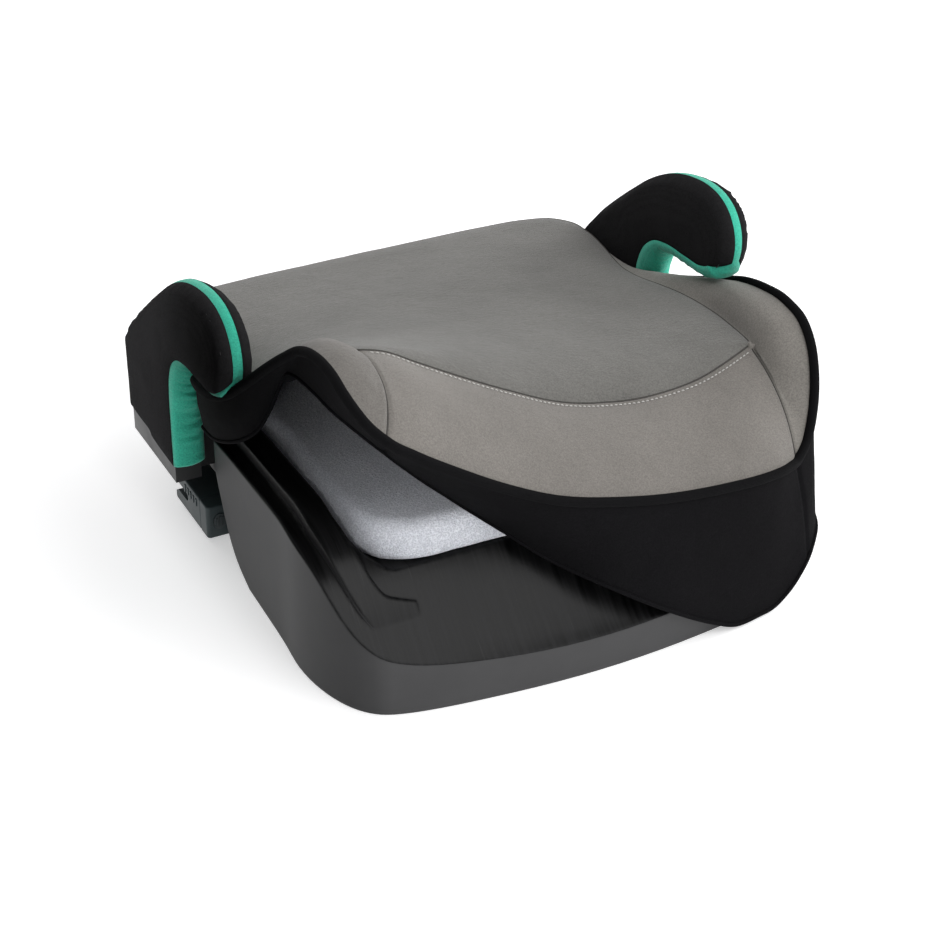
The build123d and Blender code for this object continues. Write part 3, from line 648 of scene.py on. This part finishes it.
def strip(name, start, end, upper, lower, rows, bulge, power, pinch, wrinkle, seed, thickness,
          creases=()):
    """A padded panel between two station lines, over the parameters start to end.

    bulge is a length or a value per station. power and pinch shape the bulge near the edges.
    Returns the object and its grid, whose rows run down from the upper line.
    """
    s = np.linspace(start, end, int((end - start) / PERIOD * ROUND_COUNT * 1.7))
    a = around(upper, s)
    b = around(lower, s)
    puff = around(bulge, s)[:, 0] if np.ndim(bulge) else np.full(len(s), bulge)
    # rows crowd towards both edges
    v = np.linspace(0, 1, rows)
    v = 0.5 - 0.5 * np.cos(np.pi * v) * 0.35 - (0.5 - v) * 0.65
    v = (v - v[0]) / (v[-1] - v[0])
    grid = a[None] * (1 - v)[:, None, None] + b[None] * v[:, None, None]
    normals = grid_normals(grid)
    # neighbouring normals are averaged so that tight corners stay round
    for _ in range(10):
        normals[:, 1:-1] = (normals[:, :-2] + 2 * normals[:, 1:-1] + normals[:, 2:]) / 4
    normals = outward(unit(normals), grid)
    length = np.linalg.norm(b - a, axis=1)[None]
    edge = np.minimum(v[:, None], (1 - v)[:, None]) * length
    lift = puff[None] * (np.sin(np.pi * v)[:, None] ** power) * (1 - np.exp(-edge / pinch))
    flat = grid.reshape(-1, 3)
    folds = noise3(flat * np.array([1, 1, 0.35]), 45, seed) + 0.4 * noise3(flat, 110, seed + 1)
    fade = np.sin(np.pi * np.clip(v, 0.03, 1))[:, None] ** 0.5
    lift = lift + wrinkle * folds.reshape(grid.shape[:2]) * fade
    speed = np.linalg.norm(np.gradient(grid, axis=1), axis=2) / np.gradient(s)[None]
    for crease in creases:
        # distance from the sewn line, measured along the panel
        away = np.abs(s - crease)[None] * speed
        lift = lift - 0.0016 * np.exp(-(away / 0.0022) ** 2) * np.clip(edge / 0.005, 0, 1)
    grid = grid + normals * lift[..., None]
    along = np.broadcast_to(arc_length(a * 0.5 + b * 0.5)[None], grid.shape[:2])
    uv = np.stack([along, v[:, None] * length], 2).reshape(-1, 2)
    faces = grid_faces(rows, len(s))
    i, j = rows // 2, len(s) // 2
    middle = np.cross(grid[i, j + 1] - grid[i, j], grid[i + 1, j + 1] - grid[i, j])
    if middle @ normals[i, j] < 0:
        faces = [f[::-1] for f in faces]
    ob = new_mesh(name, grid.reshape(-1, 3), faces, uv=uv)
    thicken(ob, thickness, lined=thickness > 0.003)
    return ob, grid


def seam_panel(name, start, end, rows, wrinkle, creases=()):
    """Padded panel between seam and piping."""
    return strip(name, start, end, SEAM_PTS, PIPE_PTS, rows, PUFF, power=0.8, pinch=0.006,
                 wrinkle=wrinkle, seed=11, thickness=PANEL_THICK, creases=creases)


def skirt_panel(name, start, end, rows, bulge, seed, creases=()):
    """Thin skirt between piping and hem."""
    return strip(name, start, end, PIPE_PTS, HEM_PTS, rows, bulge, power=0.9, pinch=0.02,
                 wrinkle=0.0005, seed=seed, thickness=COVER_THICK, creases=creases)[0]


CORNERS = (CORNER_L, CORNER_R)
panel_front, front_grid = seam_panel("cover_front_panel", CORNER_L, CORNER_R, rows=48,
                                     wrinkle=0.0004, creases=CORNERS)
panel_left, _ = seam_panel("cover_side_panel_left", REAR_L, CORNER_L, rows=44,
                           wrinkle=0.0008, creases=CORNERS)
panel_right, _ = seam_panel("cover_side_panel_right", CORNER_R, REAR_R, rows=44,
                            wrinkle=0.0004, creases=CORNERS)
panel_rear, _ = seam_panel("cover_rear_panel", REAR_R - PERIOD, REAR_L, rows=20, wrinkle=0.0003)
skirt = skirt_panel("cover_skirt_front", REAR_L, REAR_R, rows=60, bulge=0.0016, seed=21,
                    creases=CORNERS)
skirt_rear = skirt_panel("cover_skirt_rear", REAR_R - PERIOD, REAR_L, rows=40, bulge=0.002,
                         seed=22)
for ob, mat in ((panel_front, GREY_FRONT), (panel_left, GREY_SIDE_SHADED), (panel_right, GREY_SIDE),
                (panel_rear, GREY_SIDE), (skirt, BLACK), (skirt_rear, BLACK)):
    # lined panels have a second slot
    give(ob, *((mat, LINING) if len(ob.data.materials) > 1 else (mat,)))

# no lining shows where the panels meet at the two front corners
CORNER_REACH = 0.008
corner_points = around(SEAM_PTS, np.array(CORNERS))
for ob in (cover_seat, panel_front, panel_left, panel_right):
    for face in ob.data.polygons:
        centre = np.array(face.center)
        if min(np.linalg.norm(centre - p) for p in corner_points) < CORNER_REACH:
            face.material_index = 0

# ------------------------------------------------------------------ cover, cords and stitches
cord = give(tube("cover_piping", PIPE_LINE, PIPING_R, 12, closed=True), PIPING)
hem_cord = give(tube("cover_hem_elastic", HEM_LINE, HEM_R, 8, closed=True), BLACK)
seam_loop = give(tube("cover_seam_loop", SEAM_LINE, SEAM_LOOP_R, 8, closed=True), SEAM)
seam_fl = give(tube("cover_seam_front_left", front_grid[2:-1, 0], SEAM_END_R, 8), SEAM)
seam_fr = give(tube("cover_seam_front_right", front_grid[2:-1, -1], SEAM_END_R, 8), SEAM)


def stitches(name, grid, depth, pitch=0.0037, length=0.0024, radius=0.00050, end_gap=0.006):
    """Dashed topstitch that follows the seam at a depth below it, on a panel grid."""
    points, sides = 5, 6
    normals = outward(grid_normals(grid), grid)
    steps = np.linalg.norm(np.diff(grid, axis=0), axis=2)
    down = np.cumsum(np.r_[np.zeros((1, grid.shape[1])), steps], axis=0)
    line = []
    for c in range(grid.shape[1]):
        point, normal = (np.array([np.interp(depth, down[:, c], field[:, c, k])
                                   for k in range(3)]) for field in (grid, normals))
        line.append(point + normal / np.linalg.norm(normal) * 0.0003)
    line = np.array(line)
    arc = arc_length(line)
    arch = 0.0002 * np.sin(np.linspace(0, np.pi, points))
    verts, faces = [], []
    s = end_gap
    while s + length < arc[-1] - end_gap:
        t = np.linspace(s, s + length, points)
        path = np.stack([np.interp(t, arc, line[:, k]) for k in range(3)], 1)
        path = path + np.array([0, 0, 1.0]) * arch[:, None]
        tangent = path[-1] - path[0]
        tangent /= np.linalg.norm(tangent)
        side = np.cross(tangent, [0, 0, 1.0])
        side /= np.linalg.norm(side)
        faces += cord_faces(points, sides, first=len(verts))
        for i in range(points):
            taper = 0.55 if i in (0, points - 1) else 1.0
            verts += ring(path[i], radius * taper, side, np.cross(side, tangent), sides)
        s += pitch
    return give(new_mesh(name, verts, faces), THREAD)


stitch = stitches("cover_topstitch", front_grid, depth=0.0046)

# ------------------------------------------------------------------ foam pad


def soft_slab(name, low, high, corner, edge, count=600):
    """A slab with rounded plan corners and softened, slightly uneven edges."""
    centre = np.array([(low.x + high.x) / 2, (low.y + high.y) / 2])
    half_x, half_y = (high.x - low.x) / 2, (high.y - low.y) / 2
    height = high.z - low.z
    corner_steps, wall_rings, edge_rings, top_rings = 24, 5, 10, 40
    inset = 0.0012                             # keeps the uneven wall within the slab
    crown = 0.004                              # rise of the top at its middle

    points = []
    for sign_x, sign_y, start in ((1, 1, 0), (-1, 1, 90), (-1, -1, 180), (1, -1, 270)):
        for k in range(corner_steps):
            a = math.radians(start + 90 * k / corner_steps)
            points.append((sign_x * (half_x - corner) + corner * math.cos(a),
                           sign_y * (half_y - corner) + corner * math.sin(a)))
    points = np.array(points + [points[0]])
    arc = arc_length(points)
    at = np.linspace(0, arc[-1], count, endpoint=False)
    plan = np.stack([np.interp(at, arc, points[:, 0]), np.interp(at, arc, points[:, 1])], 1)
    along = np.roll(plan, -1, 0) - np.roll(plan, 1, 0)
    normals = unit(np.stack([along[:, 1], -along[:, 0]], 1))
    wobble = 0.0009 * wave(np.arange(count) / count * 6.283, 5, 4, 6.0)[:, None]

    # rings of (plan outline, height), from the underside up and in to the middle of the top
    rings = [(plan - normals * 0.004, low.z + 0.0006)]
    for k in range(wall_rings):
        bulge = 0.0012 * math.sin(math.pi * (k + 0.5) / wall_rings)
        z = low.z + 0.002 + (height - 0.002 - edge) * k / (wall_rings - 1)
        rings.append((plan + normals * (bulge + wobble - inset), z))
    for k in range(1, edge_rings + 1):
        a = math.pi / 2 * k / edge_rings
        push = -edge * (1 - math.cos(a)) + wobble * (1 - k / 14) - inset
        rings.append((plan + normals * push, high.z - edge + edge * math.sin(a)))
    top = rings[-1][0]
    for k in range(1, top_rings):
        f = 1 - k / top_rings
        rings.append((top * f, high.z + crown * (1 - f**3)))
    verts = np.vstack([np.c_[centre + outline, np.full(count, z)] for outline, z in rings])
    verts[:, 2] += 0.0005 * noise3(verts, 60, 8)
    faces = (grid_faces(len(rings), count, wrap=True)
             + fan_faces((len(rings) - 1) * count, count, len(verts)))
    verts = np.vstack([verts, [[*centre, high.z + crown]]])
    return new_mesh(name, verts, faces)


pad_ob = give(soft_slab("foam_pad_soft", *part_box("foam_pad"), corner=0.046, edge=0.011), FOAM)
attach(pad_ob, "base")
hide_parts("foam_pad")

# ------------------------------------------------------------------ armrest profile
# Side profile of the armrest core, (y, z) in mm: from the rear of the hem up, forwards over
# the top, round the nose, back along the underside and down to the front of the hem.
ARM = np.array([
    (166, 62), (166, 124), (146, 145), (120, 167.5), (98, 185), (78, 200), (58, 212), (40, 220),
    (18, 226), (-2, 228), (-16, 226), (-27, 220), (-34, 210), (-36, 198), (-33, 186), (-26, 177),
    (-14, 171.5), (8, 169.5), (34, 168), (52, 163), (64, 153), (71, 139), (75, 112), (76, 62),
], float)


def arm_outline():
    """Evenly spaced profile of the armrest in metres, with its outward normals."""
    core = ARM[1:-1]
    arc = arc_length(core)
    line = cubic_curve(arc, core, np.arange(0, arc[-1], 1.6))
    down = line[-1] + (ARM[-1] - line[-1]) * np.linspace(0, 1, 30)[1:, None]
    up = ARM[0] + (ARM[1] - ARM[0]) * np.linspace(0, 1, 38)[:-1, None]
    line = np.vstack([up, line, down])
    along = unit(np.gradient(line, axis=0))
    for _ in range(3):
        along[1:-1] = (along[:-2] + 2 * along[1:-1] + along[2:]) / 4
    along = unit(along)
    return line * MM, np.stack([along[:, 1], -along[:, 0]], 1)


def slot_weight():
    """1 where the profile bounds the belt slot under the nose, 0 elsewhere, eased between."""
    inside = (OUT_Y > -30) & (OUT_Y < 78) & (OUT_Z < 181) & (OUT_Z > 60)
    weight = np.where(inside, 1.0, 0.0)
    padded = np.r_[[weight[0]] * 4, weight, [weight[-1]] * 4]
    return np.convolve(padded, np.ones(9) / 9, "valid")


OUT, OUT_N = arm_outline()
OUT_COUNT = len(OUT)
OUT_ARC = arc_length(OUT)
OUT_Y, OUT_Z = OUT[:, 0] * 1000, OUT[:, 1] * 1000      # mm
SLOT = slot_weight()

# Everything here is in mm. The seams run near the outer edge along the top, and far apart
# inside the belt slot.
GROW_IN = 4.8 - 8.8 * SLOT           # how far each seam stands off the core
GROW_OUT = 3.8 - 1.2 * SLOT
SEAM_X_IN = 190.0 - 10.6 * SLOT      # distance of each seam from the middle of the seat
SEAM_X_OUT = 196.6 + 8.4 * SLOT
FACE_X_IN, FACE_X_OUT = 178.6, 208.4     # padded faces of the sleeve
CORE_X_IN, CORE_X_OUT = 183.0, 203.0     # faces of the core
CORE_CLEAR = 2.4                         # least gap between sleeve and core

FILL_STEP = 2.0 * MM                     # grid of points inside a sleeve face
SLEEVE_THICK = 0.0014
GUSSET_THICK = 0.0012
GUSSET_UV_WIDTH = 0.012

# ------------------------------------------------------------------ armrest sleeves


def segment_distance(points, p, q):
    """Distance from each point to the segment p-q, and the nearest place along it (0-1)."""
    d = q - p
    t = np.clip(((points - p) @ d) / max(d @ d, 1e-12), 0, 1)
    return np.linalg.norm(points - p - t[:, None] * d, axis=1), t


def grid_fill(outline):
    """Points of a square grid well inside the closed outline."""
    ys = np.arange(outline[:, 0].min(), outline[:, 0].max(), FILL_STEP)
    zs = np.arange(outline[:, 1].min(), outline[:, 1].max(), FILL_STEP)
    grid_y, grid_z = np.meshgrid(ys, zs)
    points = np.c_[grid_y.ravel(), grid_z.ravel()]
    inside = np.zeros(len(points), bool)
    distance = np.full(len(points), 9.0)
    for p, q in zip(outline, np.roll(outline, -1, 0)):
        spans = (q[1] > points[:, 1]) != (p[1] > points[:, 1])
        crossing = (q[0] - p[0]) * (points[:, 1] - p[1]) / (q[1] - p[1] + 1e-15) + p[0]
        inside ^= spans & (points[:, 0] < crossing)
        distance = np.minimum(distance, segment_distance(points, p, q)[0])
    return points[inside & (distance > FILL_STEP * 0.6)]


def puff_cloth(ob, pressure, cap):
    """Inflate the panel as cloth, pinned along its sewn edge. cap limits the movement."""

    def positions():
        co = np.zeros(len(ob.data.vertices) * 3)
        ob.data.vertices.foreach_get("co", co)
        return co.reshape(-1, 3)

    before = positions()
    group = ob.vertex_groups.new(name="pin")
    bm = bmesh.new()
    bm.from_mesh(ob.data)
    pinned = {v.index for v in bm.verts if any(len(e.link_faces) == 1 for e in v.link_edges)}
    bm.free()
    group.add(sorted(pinned), 1.0, "REPLACE")
    cloth = ob.modifiers.new("cloth", "CLOTH")
    settings = cloth.settings
    settings.quality = 5
    settings.mass = 0.25
    settings.use_pressure = True
    settings.uniform_pressure_force = pressure
    settings.tension_stiffness = 20
    settings.compression_stiffness = 12
    settings.shear_stiffness = 8
    settings.bending_stiffness = 0.8
    settings.vertex_group_mass = "pin"
    settings.effector_weights.gravity = 0
    cloth.collision_settings.use_collision = False
    scene = bpy.context.scene
    for f in range(1, 17):
        scene.frame_set(f)
    apply_mods(ob)
    scene.frame_set(1)
    move = positions() - before
    distance = np.linalg.norm(move, axis=1, keepdims=True)
    move = move * np.minimum(1, cap / np.maximum(distance, 1e-9))
    ob.data.vertices.foreach_set("co", (before + move).ravel())
    ob.data.update()


def soft_panel(name, side, seam_x, face_x, grow, seed, face_out):
    """One padded face of the sleeve: it leaves the seam, turns the edge and covers the core.

    side is -1 or 1 for the left or right armrest. face_out is 1 for its outer face, -1 for
    the face towards the seat.
    """
    edge_line = OUT + OUT_N * grow[:, None] * MM
    points = [Vector(p) for p in np.vstack([edge_line, grid_fill(edge_line)])]
    edges = [(i, (i + 1) % OUT_COUNT) for i in range(OUT_COUNT)]
    flat, _, faces, _, _, _ = delaunay_2d_cdt(points, edges, [], 1, 1e-6)
    flat = np.array([[p.x, p.y] for p in flat])
    # distance to the sewn edge; the hem isn't sewn shut, so it doesn't count
    from_edge = np.full(len(flat), 9.0)
    start_x = np.zeros(len(flat))
    weights = np.zeros(len(flat))
    for i in range(OUT_COUNT - 1):
        distance, t = segment_distance(flat, edge_line[i], edge_line[i + 1])
        weight = 1.0 / (distance + 2e-5) ** 4
        start_x += weight * (seam_x[i] * (1 - t) + seam_x[i + 1] * t)
        weights += weight
        from_edge = np.minimum(from_edge, distance)
    start_x /= weights
    t = np.clip(from_edge / 0.012, 0, 1)
    rounding = np.sqrt(1 - (1 - t) ** 2)                   # rounds over like a stuffed edge
    dome = 1 - np.exp(-from_edge / 0.022)
    reach = 0.66 * rounding + 0.34 * dome
    x = start_x * (1 - reach) + face_x * reach
    seeded = np.c_[flat, np.zeros(len(flat)) + seed]
    wrinkle = (noise3(seeded, 26, seed) * 0.7 + noise3(seeded, 70, seed + 1) * 0.25) * dome
    pairs = np.array(sorted({tuple(sorted((f[i], f[i - 1]))) for f in faces
                             for i in range(len(f))}))
    degree = np.bincount(pairs.ravel(), minlength=len(flat))
    free = from_edge > 1e-6
    sparse = edge_line[::3]
    near = np.argmin(((flat[:, None, 0] - sparse[None, :, 0]) ** 2
                      + (flat[:, None, 1] - sparse[None, :, 1]) ** 2), axis=1)
    # the sewn edge stands off the core, so only points farther in lie over it
    over_core = from_edge > grow[::3][near] * MM - 0.001
    keep = np.clip(from_edge / 0.008, 0, 1)
    for k in range(30):
        # smooth the face while holding it clear of the core; the last passes only smooth
        if k < 26:
            clear = (np.minimum(x, CORE_X_IN - CORE_CLEAR) if face_out < 0
                     else np.maximum(x, CORE_X_OUT + CORE_CLEAR))
            x = np.where(free & over_core, clear, x)
        total = (np.bincount(pairs[:, 0], x[pairs[:, 1]], len(flat))
                 + np.bincount(pairs[:, 1], x[pairs[:, 0]], len(flat)))
        x = np.where(free, x * (1 - 0.8 * keep) + 0.8 * keep * total / degree, x)
    verts = np.c_[side * (x + face_out * wrinkle) * MM, flat]
    ob = new_mesh(name, verts, [tuple(f) for f in faces], uv=flat)
    me = ob.data
    me.update()
    if np.mean([p.normal.x for p in me.polygons]) * side * face_out < 0:
        me.flip_normals()
    puff_cloth(ob, pressure=0.6, cap=0.0012)
    thicken(ob, SLEEVE_THICK)
    return ob


def gusset_band(name, side, seed):
    """Coloured band between the two faces, gathered and wrinkled inside the belt slot."""
    rows = 21
    v = np.linspace(0, 1, rows)
    # extra fullness where the slot turns down at its rear
    low = smooth01((170 - OUT_Z) / 22) * smooth01((OUT_Y - 44) / 12) * SLOT
    low = low * smooth01((OUT_Z - 100) / 25)
    grid = []
    for across in v:
        seam = GROW_IN * (1 - across) + GROW_OUT * across
        hump = math.sin(math.pi * across)
        stand = (seam - 0.15 + (0.5 * hump) * (1 - SLOT) + 7.6 * hump ** 0.5 * SLOT
                 + 6.5 * hump ** 0.6 * low)
        fold = wave(OUT_ARC * 1000, seed, 3, 0.5) * hump * (0.10 + 1.1 * SLOT)
        fine = wave(OUT_ARC * 1000 + 9 * across, seed + 5, 2, 1.1) * hump * 0.4 * SLOT
        profile = OUT + OUT_N * ((stand + fold * 0.8 + fine)[:, None]) * MM
        blend = across * (1 - SLOT) + across ** 1.6 * SLOT
        x = SEAM_X_IN * (1 - blend) + SEAM_X_OUT * blend
        grid.append(np.c_[side * x * MM, profile])
    grid = np.array(grid)
    faces = grid_faces(rows, OUT_COUNT)
    i, j = 8, 100                            # any place on the band tells which way it faces
    normal = np.cross(grid[i, j + 1] - grid[i, j], grid[i + 1, j] - grid[i, j])
    if normal @ np.array([0, *OUT_N[j]]) < 0:
        faces = [f[::-1] for f in faces]
    uv = np.c_[np.tile(OUT_ARC, rows), np.repeat(v * GUSSET_UV_WIDTH, OUT_COUNT)]
    ob = new_mesh(name, grid.reshape(-1, 3), faces, uv=uv)
    thicken(ob, GUSSET_THICK)
    return ob


for side_name, side in (("left", -1), ("right", 1)):
    inner = soft_panel("armrest_sleeve_inner_soft_" + side_name, side, SEAM_X_IN, FACE_X_IN,
                       GROW_IN, seed=3, face_out=-1)
    outer = soft_panel("armrest_sleeve_outer_soft_" + side_name, side, SEAM_X_OUT, FACE_X_OUT,
                       GROW_OUT, seed=4, face_out=1)
    gusset = gusset_band("armrest_gusset_soft_" + side_name, side, seed=31)
    for ob, mat, node, slot in (
            (inner, BLACK_ARM, "armrest_sleeve_inner_", "black_fabric"),
            (outer, BLACK_ARM, "armrest_sleeve_outer_", "black_fabric"),
            (gusset, GREEN, "armrest_gusset_", "green_fabric")):
        give(ob, mat)
        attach(ob, "base")
        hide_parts(node + side_name)

# ------------------------------------------------------------------ fold axis, and the CAD nodes the cover replaces
fold_joint = next(x for x in frame["joints"] if x["name"] == "cover_fold")
fold_axis = Vector(fold_joint["axis"]).normalized()
# horizontal direction across the fold, towards the free corner
across_fold = Vector((fold_axis.y, -fold_axis.x, 0)).normalized()
if across_fold.x > 0:
    across_fold = -across_fold

# cover piece, material slot, CAD nodes it replaces
for ob, slot, *replaced in (
        (cover_seat, "grey_knit", "cover_seat_panel"),
        (panel_front, "grey_knit", "cover_flap_panel"),
        (panel_left, "grey_knit"),
        (panel_right, "grey_knit"),
        (panel_rear, "grey_knit"),
        (skirt, "black_fabric", "cover_flap_skirt"),
        (skirt_rear, "black_fabric", "cover_seat_skirt"),
        (cord, "piping", "cover_seat_piping", "cover_flap_piping"),
        (hem_cord, "black_fabric"),
        (seam_loop, "grey_knit"),
        (seam_fl, "grey_knit"),
        (seam_fr, "grey_knit"),
        (stitch, "grey_knit")):
    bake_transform(ob)
    if replaced:
        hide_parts(*replaced)

# ------------------------------------------------------------------ floor and world
FLOOR_HALF, FLOOR_Z = 6, -0.0005


def floor_material():
    m = Material("floor_pale")
    patch = m.noise(scale=3, detail=2, rough=0.5)
    color = m.ramp(patch, (0.3, (0.86, 0.86, 0.865)), (0.7, (0.88, 0.88, 0.885)))
    return m.finish(Base_Color=color, Roughness=0.9, Specular_IOR_Level=0.1,
                    Emission_Color=(1, 1, 1), Emission_Strength=0.45)


floor_corners = [(x * FLOOR_HALF, y * FLOOR_HALF, FLOOR_Z)
                 for x, y in ((-1, -1), (1, -1), (1, 1), (-1, 1))]
floor = new_mesh("floor", floor_corners, [(0, 1, 2, 3)], smooth=False)
give(floor, floor_material())
floor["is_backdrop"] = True


def build_world():
    """White to the camera; fill light that is strongest from the upper right front."""
    world = bpy.data.worlds.new("world")
    bpy.context.scene.world = world
    world.use_nodes = True
    sky = Nodes(world.node_tree)
    direction = sky.add("ShaderNodeTexCoord").outputs["Generated"]
    facing = sky.add("ShaderNodeVectorMath", operation="DOT_PRODUCT")
    sky.feed(facing.inputs[0], direction)
    sky.feed(facing.inputs[1], Vector((0.50, -0.35, 0.79)).normalized())
    tone = sky.ramp(facing.outputs["Value"], (0.0, (0.17, 0.17, 0.175)), (1.0, 0.85))
    fill = sky.add("ShaderNodeBackground", Color=tone, Strength=1.0)
    seen = sky.add("ShaderNodeBackground", Color=1, Strength=1.0)
    is_camera = sky.add("ShaderNodeLightPath").outputs["Is Camera Ray"]
    mix = sky.add("ShaderNodeMixShader")
    for socket, value in zip(mix.inputs, (is_camera, fill.outputs[0], seen.outputs[0])):
        sky.feed(socket, value)
    sky.add("ShaderNodeOutputWorld", Surface=mix.outputs[0])


build_world()

# ------------------------------------------------------------------ lights


def place_light(light, location, target):
    ob = bpy.data.objects.new(light.name, light)
    bpy.context.scene.collection.objects.link(ob)
    ob.location = location
    aim = Vector(target) - Vector(location)
    ob.rotation_euler = aim.to_track_quat("-Z", "Y").to_euler()
    ob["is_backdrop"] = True
    return ob


# area lights: name, location, target, size (m), power (W)
for name, location, target, size, power in (
        ("key", (0.55, -1.75, 1.75), (0, -0.05, 0.1), 1.5, 25),
        ("rear", (-0.45, 1.75, 1.45), (0, 0, 0.1), 1.3, 13),
        ("right", (1.9, -0.2, 1.0), (0, 0, 0.1), 1.1, 17),
        ("left", (-1.9, 0.1, 0.55), (0, 0, 0.08), 0.8, 0.5)):
    area = bpy.data.lights.new(name, "AREA")
    area.energy = power
    area.size = size
    place_light(area, location, target)

# a soft spot picks out the foam under the lifted corner
spot = bpy.data.lights.new("foam_spot", "SPOT")
spot.energy = 75
spot.spot_size = math.radians(9.5)
spot.spot_blend = 1.0
spot.shadow_soft_size = 0.12
spot_ob = place_light(spot, location=(-0.62, -1.15, 0.62), target=(-0.012, -0.112, 0.105))
foam_only = bpy.data.collections.new("foam_only")
foam_only.objects.link(pad_ob)
spot_ob.light_linking.receiver_collection = foam_only

# a black card off to the left keeps side light out from under the lifted corner
FLAG_CORNERS = [(-0.222, -0.120, 0.110), (-0.228, 0.050, 0.100),
                (-0.245, 0.050, 0.26), (-0.238, -0.105, 0.26)]
flag = new_mesh("flag_card", FLAG_CORNERS, [(0, 1, 2, 3)], smooth=False)
give(flag, Material("flag_black").finish(Roughness=1.0, Base_Color=0.002))
flag.visible_camera = False
flag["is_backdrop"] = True

# ------------------------------------------------------------------ camera
CAMERA_AT = (-0.65193, -1.28094, 0.93618)
CAMERA_TURN, CAMERA_HEIGHT = math.radians(-26.74), math.radians(31.75)   # round Z, above level

camera = bpy.data.cameras.new("cam")
camera.sensor_width = 36
camera.lens = 89.0322581
camera.clip_end = 20
camera_ob = bpy.data.objects.new("camera", camera)
bpy.context.scene.collection.objects.link(camera_ob)
back = Vector((math.sin(CAMERA_TURN) * math.cos(CAMERA_HEIGHT),
               -math.cos(CAMERA_TURN) * math.cos(CAMERA_HEIGHT), math.sin(CAMERA_HEIGHT)))
right = Vector((math.cos(CAMERA_TURN), math.sin(CAMERA_TURN), 0))
rotation = Matrix((right, back.cross(right), back)).transposed()
camera_ob.matrix_world = Matrix.Translation(Vector(CAMERA_AT)) @ rotation.to_4x4()
bpy.context.scene.camera = camera_ob
bpy.context.scene.view_settings.view_transform = "Standard"
bpy.context.scene.view_settings.look = "None"

BOUNDS_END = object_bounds()


def plain(x):
    """Bounds as plain dicts, lists and floats."""
    if isinstance(x, dict):
        return {k: plain(v) for k, v in x.items()}
    if hasattr(x, "__len__"):
        return [plain(v) for v in x]
    return float(x)


{"start": plain(BOUNDS_START), "end": plain(BOUNDS_END)}
